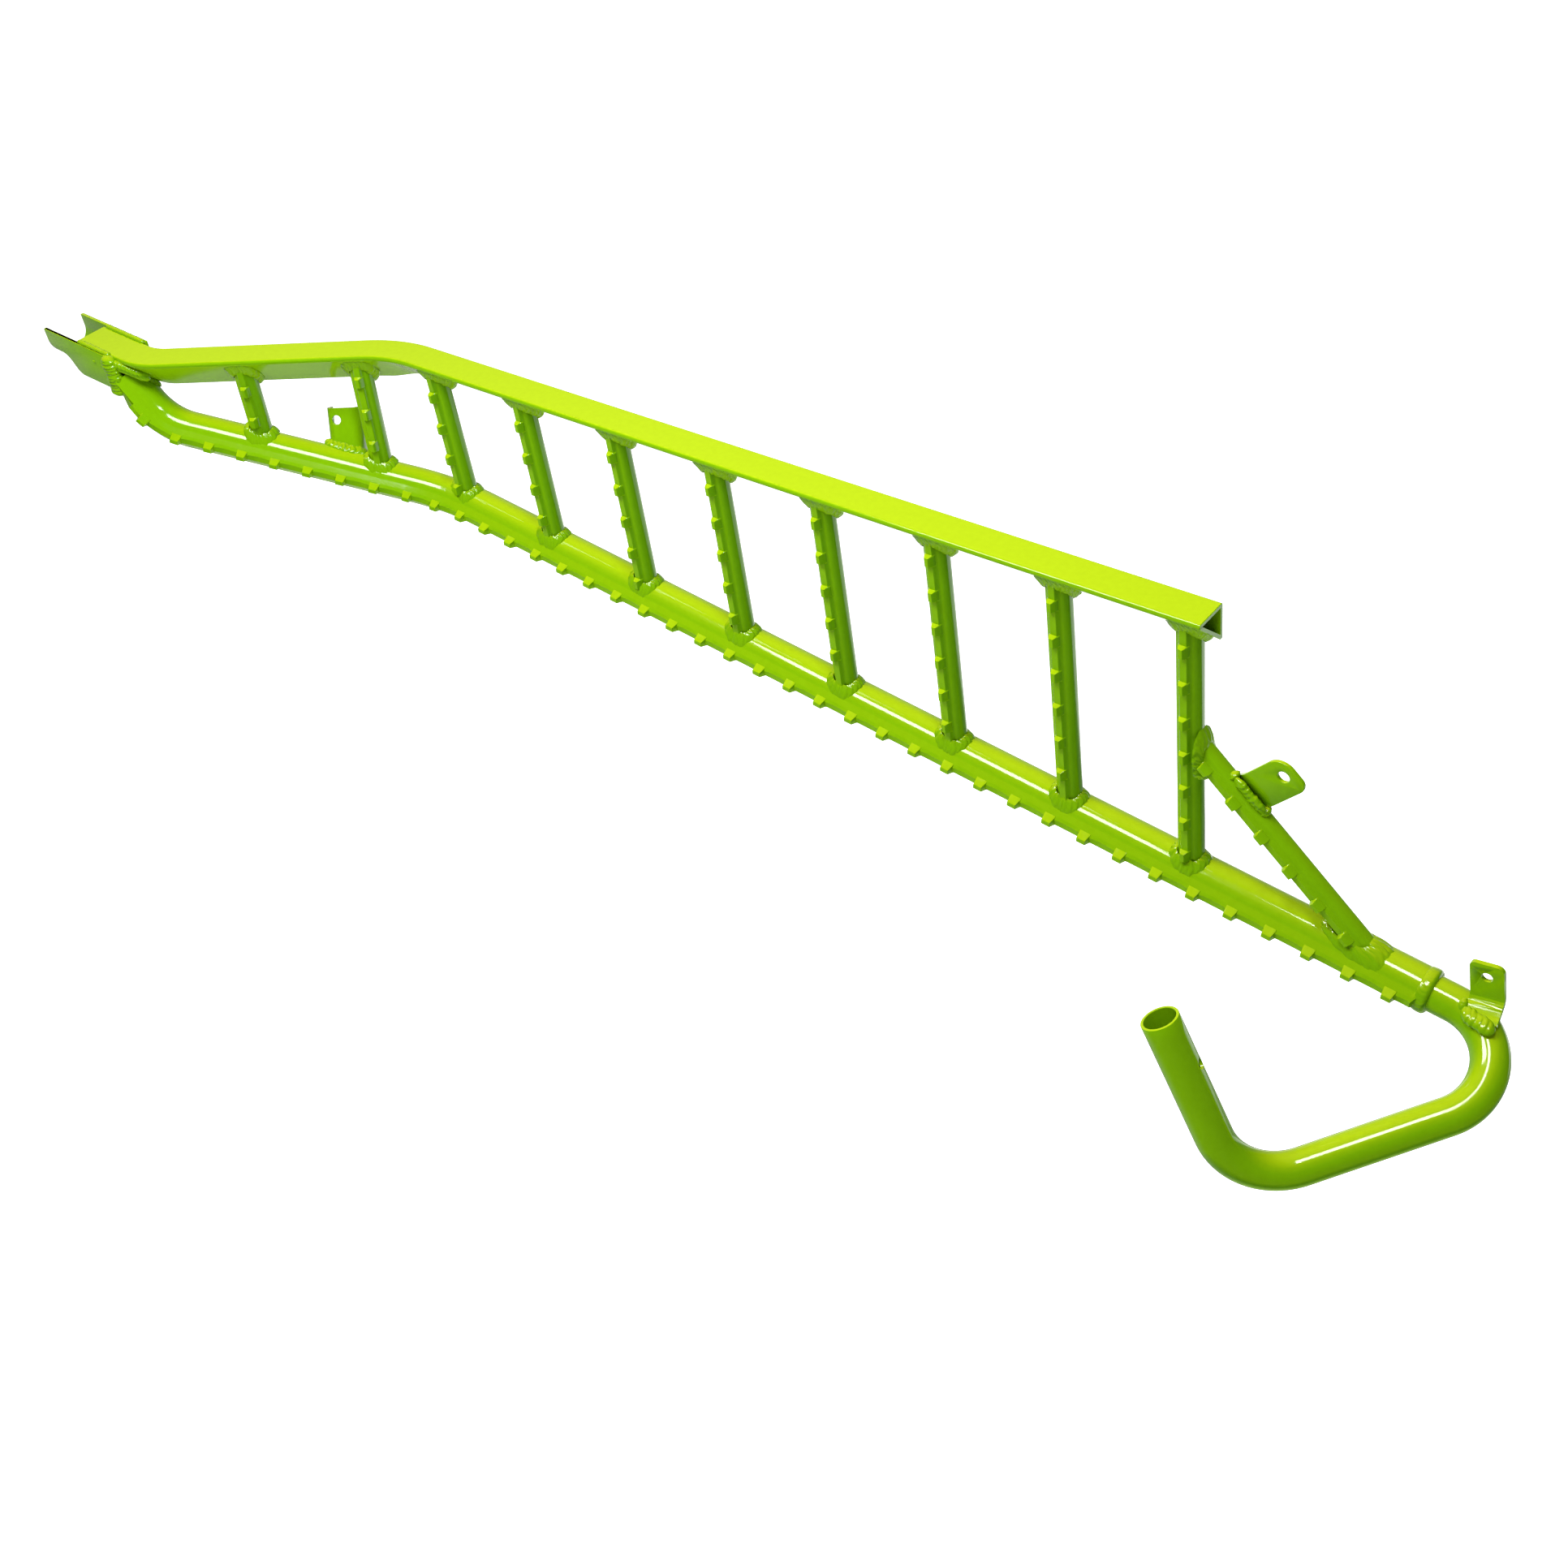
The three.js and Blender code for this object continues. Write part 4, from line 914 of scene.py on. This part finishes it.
def mouth_bead():
    point = axes_at(outer_at(OUTER_FRONT_X), *side_and_up(OUTER_ALONG), OUTER_ALONG)
    rings = []
    n, m = 200, 18
    for i in range(n):
        angle = 2 * pi * i / n
        u = i / n * MOUTH_RIPPLES
        amp = 0.14 + 0.2 * max(0.0, wobble(u * 0.35, 4.0))
        row = []
        for j in range(m):
            v = j / (m - 1)
            bow = 2 * v - 1
            ripple = amp * (coin(u + 0.7 * bow ** 2) - 0.2) * (1 - bow ** 4)
            x = MOUTH_START + MOUTH_LENGTH * v
            drop = max(0.0, x - 0.2) / 2.5
            radius = (OUTER_R + 0.55 * sin(pi * min(1, v * 1.05)) ** 0.7 + ripple * 0.8
                      - 2.6 * (1 - sqrt(max(0.0, 1 - min(1.0, drop) ** 2))))
            if j == 0:
                radius = 13.0
            if j == m - 1:
                radius = MOUTH_INNER_R
            row.append(point(radius * cos(angle), radius * sin(angle), x))
        row.append(point(MOUTH_INNER_R * cos(angle), MOUTH_INNER_R * sin(angle), MOUTH_START))
        rings.append(np.array(row))
    return skin(rings, loop=True)


weld("rail_mouth_bead", [mouth_bead()], "weld_sleeve")

# Tab that stands on the toe loop
TOE_TAB_WIDTH, TOE_TAB_THICK, TOE_TAB_END = 19.5, 2.6, 26
TOE_TAB_HOLE_DIA, TOE_TAB_HOLE_RISE = 6.6, 16.6
TOE_TAB_BEND = [(-7.4, 12.6), (-4.6, 7.6), (-2.2, 3.6), (0.2, 0.9), (3.0, 0)]  # rise, offset

toe_tab_origin = vec(173.2, 14.2, -204.8)
toe_tab_across = unit((0.9931, 0.06, 0.1))
toe_tab_normal = unit((0.06, -0.998, 0))
toe_tab_rise = unit(np.cross(toe_tab_normal, toe_tab_across))
if toe_tab_rise[2] < 0:
    toe_tab_rise = -toe_tab_rise
tab_plate("toe_loop_tab_plate", "toe_loop_tab", toe_tab_origin, toe_tab_rise, toe_tab_across,
          toe_tab_normal, np.vstack([smooth_line(TOE_TAB_BEND, 6), [(TOE_TAB_END, 0)]]),
          TOE_TAB_THICK, TOE_TAB_WIDTH / 2, radii=(4.5, 3.2),
          hole=rod(toe_tab_origin + toe_tab_rise * TOE_TAB_HOLE_RISE, toe_tab_normal,
                   TOE_TAB_HOLE_DIA / 2, 5))
toe_tab_at = axes_at(toe_tab_origin, toe_tab_across, toe_tab_normal, toe_tab_rise)
weld("toe_loop_tab_bead", [
    path_bead([toe_tab_at(-11.5, 10.4, -4.6), toe_tab_at(-4, 13.0, -5.6),
               toe_tab_at(4, 15.2, -6.6), toe_tab_at(10.0, 16.2, -7.6)],
              toe_tab_normal * 0.9 - toe_tab_rise * 0.3,
              toe_tab_rise * 0.9 + toe_tab_normal * 0.3,
              wide=5.2, tall=3.4, pitch=4.0, amp=0.6, seed=4.0),
    path_bead([toe_tab_at(-11.6, 3.5, -2.0), toe_tab_at(-11.6, 10.5, -5.0)],
              toe_tab_across, toe_tab_rise, wide=3.0, tall=3.0, pitch=3.0, seed=5.0),
], "weld_toe_loop_tab")

# ---- clip bracket, a U-shaped strap on the outer rail's kicked run ---------------------------
CLIP_X, CLIP_LEAN = -700.2, radians(25.0)
CLIP_HALF, CLIP_DEEP, CLIP_R, CLIP_THICK, CLIP_TOP = 12.9, 12.0, 7.5, 2.2, 43.0
CLIP_HOLE_DIA, CLIP_HOLE_DOWN, CLIP_HOLE_SHIFT = 6.8, 8.6, -4.2

clip_up = UP * cos(CLIP_LEAN) + np.cross(UP, KICK_ALONG) * sin(CLIP_LEAN)
clip_deep = unit(np.cross(clip_up, KICK_ALONG))
clip_at = axes_at(outer_kick_at(CLIP_X), KICK_ALONG, clip_deep, clip_up)
clip_inner = CLIP_HALF - CLIP_THICK
strap = np.vstack([
    rounded([(CLIP_HALF, CLIP_DEEP, 0), (CLIP_HALF, 0, CLIP_R),
             (-CLIP_HALF, 0, CLIP_R), (-CLIP_HALF, CLIP_DEEP, 0)], 10),
    rounded([(-clip_inner, CLIP_DEEP, 0), (-clip_inner, CLIP_THICK, CLIP_R - CLIP_THICK),
             (clip_inner, CLIP_THICK, CLIP_R - CLIP_THICK), (clip_inner, CLIP_DEEP, 0)], 10)])
build("clip_bracket_strap",
      [skin([clip_at(strap[:, :1], strap[:, 1:2], u) for u in (2, CLIP_TOP)])],
      "clip_bracket", bevel=0.3,
      cutters=[rod(clip_at(CLIP_HOLE_SHIFT, 0, CLIP_TOP - CLIP_HOLE_DOWN), clip_deep,
                   CLIP_HOLE_DIA / 2, 5)])


def clip_foot(a, b, d):
    """Point d above the outer rail's surface."""
    surface = sqrt(max(9.0, OUTER_R ** 2 - b * b)) - OUTER_KICK_RISE * cos(radians(OUTER_KICK)) * a
    return clip_at(a, b, surface + d)


clip_outline = rounded([(-CLIP_HALF, CLIP_DEEP, 1), (-CLIP_HALF, 0, CLIP_R),
                        (CLIP_HALF, 0, CLIP_R), (CLIP_HALF, CLIP_DEEP, 1)], 8)
weld("clip_bracket_bead",
     [ring_bead(clip_outline, clip_foot, wide=4.6, tall=4.2, pitch=3.1, amp=0.8, seed=9.1,
                bulge=0.6)], "weld_clip")

# ---- rear saddle, a channel under the inner rail's rear run ----------------------------------
SADDLE_WALL = 9.0  # depth at which the walls turn into the round bottom
SADDLE_REAR, SADDLE_FRONT = -929.0, -848.0
SADDLE_SKEW, SADDLE_FRONT_SKEW = 7.0, 12
EAR_X, EAR_Z = -902.0, -28.5
# Outline of the ear, the plate that carries the -Y wall down: x, z
EAR = [
    (SADDLE_REAR, 0.2), (SADDLE_REAR + 0.3, -5.5), (SADDLE_REAR + 2.2, -10.0),
    (SADDLE_REAR + 5.5, -13.0), (EAR_X - 8, -15.2), (EAR_X - 4, -16.6), (EAR_X - 0.5, -19.3),
    (EAR_X + 2.5, -23.0), (EAR_X + 5.5, -26.2), (EAR_X + 10, -28.2), (EAR_X + 16, EAR_Z),
    (SADDLE_FRONT + 1, EAR_Z), (SADDLE_FRONT + 1, 0.2),
]


def saddle_at(x, side=0.0, z=0.0):
    base = INNER_TURN + REAR_ALONG * (x - INNER_TURN[0]) / REAR_ALONG[0]
    return base + REAR_SIDE * side + UP * z


def channel_line(radius):
    arc = [(radius * cos(t), -SADDLE_WALL + radius * sin(t)) for t in np.linspace(pi, 2 * pi, 33)]
    return [(-radius, 0.2), (-radius, -4)] + arc + [(radius, -4), (radius, 0.2)]


def rear_saddle():
    inner_r = SADDLE_HALF - SADDLE_THICK
    outline = np.array(channel_line(SADDLE_HALF) + channel_line(inner_r)[::-1])
    side, z = outline[:, :1], outline[:, 1:2]
    # both ends lie further forward on the +Y side
    skew = (side + SADDLE_HALF) / (2 * SADDLE_HALF)
    rear = saddle_at(SADDLE_REAR, side, z) + REAR_ALONG * SADDLE_SKEW * skew
    front = (saddle_at(SADDLE_FRONT, side, z)
             + REAR_ALONG * SADDLE_FRONT_SKEW * np.clip(skew * 3 - 1.6, 0, 1))
    ear = np.vstack([smooth_line(EAR[:-1], 5), [EAR[-1]]])
    ear_rings = [np.array([saddle_at(x, a, z) for x, z in ear])
                 for a in (-inner_r, -SADDLE_HALF - 0.05)]
    build("rear_saddle_channel", [skin([rear, front]), skin(ear_rings)], "rear_saddle",
          bevel=0.45)


rear_saddle()
weld("saddle_side_bead",
     [path_bead([saddle_at(SADDLE_FRONT + 4.0, -SADDLE_HALF + 0.6, 0.6),
                 saddle_at(SADDLE_FRONT + 6.0, -SADDLE_HALF + 0.2, -14),
                 saddle_at(SADDLE_FRONT + 5.0, -SADDLE_HALF + 0.2, -31)],
                REAR_ALONG, -REAR_SIDE, wide=7.2, tall=4.8, pitch=2.7, amp=0.75, seed=7.0,
                taper=0.5)], "weld_saddle_side")
# Beads on the saddle's rims: name, side, rear x, front x, height, seed
for name, side, rear_x, front_x, tall, seed in (
        ("near", -12.6, -886, SADDLE_FRONT + 4, 1.7, 11.0),
        ("far", 12.6, -885, SADDLE_FRONT + 12, 1.9, 12.0)):
    weld("saddle_%s_bead" % name,
         [path_bead([saddle_at(rear_x, side, 0.1), saddle_at(front_x, side, 0.1)],
                    REAR_SIDE, UP, wide=2.2, tall=tall, pitch=2.4, amp=0.35, seed=seed)],
         "weld_saddle_" + name)

# Collar where the outer rail runs up into the inner rail's sloping underside
tip = outer_path[0]
tip_out = -tip.along
tip_at = axes_at(tip.point, tip.side, unit(np.cross(tip_out, tip.side)))
underside_normal = unit(REAR_SIDE * (INNER_DEPTH_REAR - INNER_LIP) + UP * INNER_WIDTH)
underside_point = saddle_at(tip.point[0], -INNER_HALF, -INNER_LIP)


def join_point(a, b, d):
    p = tip_at(a, b)
    t = float((underside_point - p) @ underside_normal) / float(tip_out @ underside_normal)
    t = min(t, (-9.0 - p[2]) / tip_out[2])
    return p + tip_out * (t - d)


weld("rail_join_bead", [
    ring_bead(np.roll(circle(OUTER_R, 80), -60, axis=0), join_point, wide=2.2, tall=7.5, n=260,
              pitch=2.4, amp=0.8, seed=13.0, bulge=0.3, stop=0.54),
    path_bead([saddle_at(-841, -12.8, -6.0), saddle_at(-834, -11.6, -7.2),
               saddle_at(-826, -8.8, -10.0), saddle_at(-817, -3.4, -15.0)],
              UP * 0.8 - REAR_SIDE * 0.6, -REAR_SIDE * 0.8 - UP * 0.6,
              wide=5.6, tall=3.2, pitch=3.2, amp=1.1, seed=21.0, taper=0.5),
], "weld_rail_join")

# ---- stage, in metres -----------------------------------------------------------------------
FLOOR_HALF, FLOOR_Z = 6.0, -0.62
CAMERA_AT = vec(458.6656, -784.0575, 689.2183)  # CAD millimetres
CAMERA_RIGHT = (0.7731320, 0.6207546, -0.1301177)
CAMERA_UP = (-0.3329317, 0.5718209, 0.7497849)
CAMERA_FORWARD = (-0.5398365, 0.5363623, -0.6487619)


def stage(name, data):
    obj = bpy.data.objects.new(name, data)
    bpy.context.scene.collection.objects.link(obj)
    return obj


def pale_floor():
    """Pale floor that glows, brighter to the camera than to other rays."""
    mesh = bpy.data.meshes.new("floor")
    mesh.from_pydata([(x * FLOOR_HALF, y * FLOOR_HALF, FLOOR_Z)
                      for x, y in ((-1, -1), (1, -1), (1, 1), (-1, 1))], [], [(0, 1, 2, 3)])
    stage("floor", mesh).visible_glossy = False
    material = bpy.data.materials.new("pale_floor")
    material.use_nodes = True
    tree = material.node_tree
    inputs = tree.nodes["Principled BSDF"].inputs
    inputs["Base Color"].default_value = (0.86, 0.86, 0.86, 1)
    inputs["Roughness"].default_value = 0.8
    inputs["Emission Color"].default_value = (1, 1, 1, 1)
    inputs["Emission Strength"].default_value = 0.45  # used only if the link below is cut
    seen = add_node(tree, "LightPath").outputs["Is Camera Ray"]
    glow = add_node(tree, "MapRange", {"To Min": 0.5, "To Max": 1.0, "Value": seen})
    tree.links.new(glow.outputs[0], inputs["Emission Strength"])
    mesh.materials.append(material)


def area(name, location, rotation, size, power):
    light = bpy.data.lights.new(name, "AREA")
    light.shape = "RECTANGLE"
    light.size, light.size_y = size
    light.energy = power
    obj = stage(name, light)
    obj.location = location
    obj.rotation_euler = rotation
    return obj


def aim(start, target):
    return (Vector(target) - Vector(start)).to_track_quat("-Z", "Y").to_euler()


def lights():
    at = (-0.48, -0.452, 0.83)
    area("key_softbox", at, aim(at, (-0.48, -0.452, 0.0)), size=(0.56, 0.32), power=13.5)
    turned = Matrix(((0.73, 0.683, 0), (-0.683, 0.73, 0), (0, 0, 1))).to_euler()
    area("toe_softbox", (0.115, -0.253, 0.86), turned, size=(0.30, 0.20), power=5.0)
    at = (-0.6, 0.3, 2.2)
    top = area("top_fill", at, aim(at, (-0.35, 0.0, -0.1)), size=(2.0, 1.6), power=12)
    top.visible_glossy = False
    at = (-0.45, 0.62, -0.52)
    back = area("back_panel", at, aim(at, (-0.45, 0.62, 1.0)), size=(2.2, 0.42), power=3.8)
    back.visible_camera = False
    back.visible_diffuse = False


def studio_world():
    """White to the camera, even for diffuse light, and in reflections brighter ahead."""
    world = bpy.data.worlds.new("studio")
    bpy.context.scene.world = world
    world.use_nodes = True
    world.node_tree.nodes.clear()
    add = partial(add_node, world.node_tree)
    rays = add("LightPath").outputs
    direction = add("TexCoord").outputs["Generated"]
    ahead = add("VectorMath", {0: direction, 1: CAMERA_FORWARD}, operation="DOT_PRODUCT")
    gloss = add("MapRange", {"From Min": 0.1, "From Max": 0.8, "To Min": 0.02, "To Max": 0.4,
                             "Value": ahead.outputs["Value"]}, interpolation_type="SMOOTHSTEP")
    plain, glossy, camera = [
        add("Background", {"Color": (1, 1, 1, 1), "Strength": strength}).outputs[0]
        for strength in (0.30, gloss.outputs[0], 1.0)]
    lit = add("MixShader", {0: rays["Is Glossy Ray"], 1: plain, 2: glossy})
    seen = add("MixShader", {0: rays["Is Camera Ray"], 1: lit.outputs[0], 2: camera})
    add("OutputWorld", {0: seen.outputs[0]})


def camera():
    data = bpy.data.cameras.new("camera")
    data.sensor_width = 36.0
    data.lens = 48.046789
    data.clip_start = 0.01
    obj = stage("camera", data)
    rows = zip(CAMERA_RIGHT, CAMERA_UP, [-c for c in CAMERA_FORWARD], metres(CAMERA_AT))
    obj.matrix_world = Matrix([*rows, (0, 0, 0, 1)])
    bpy.context.scene.camera = obj


pale_floor()
lights()
studio_world()
camera()
bpy.context.scene.view_settings.view_transform = "Standard"
bpy.context.scene.view_settings.look = "None"
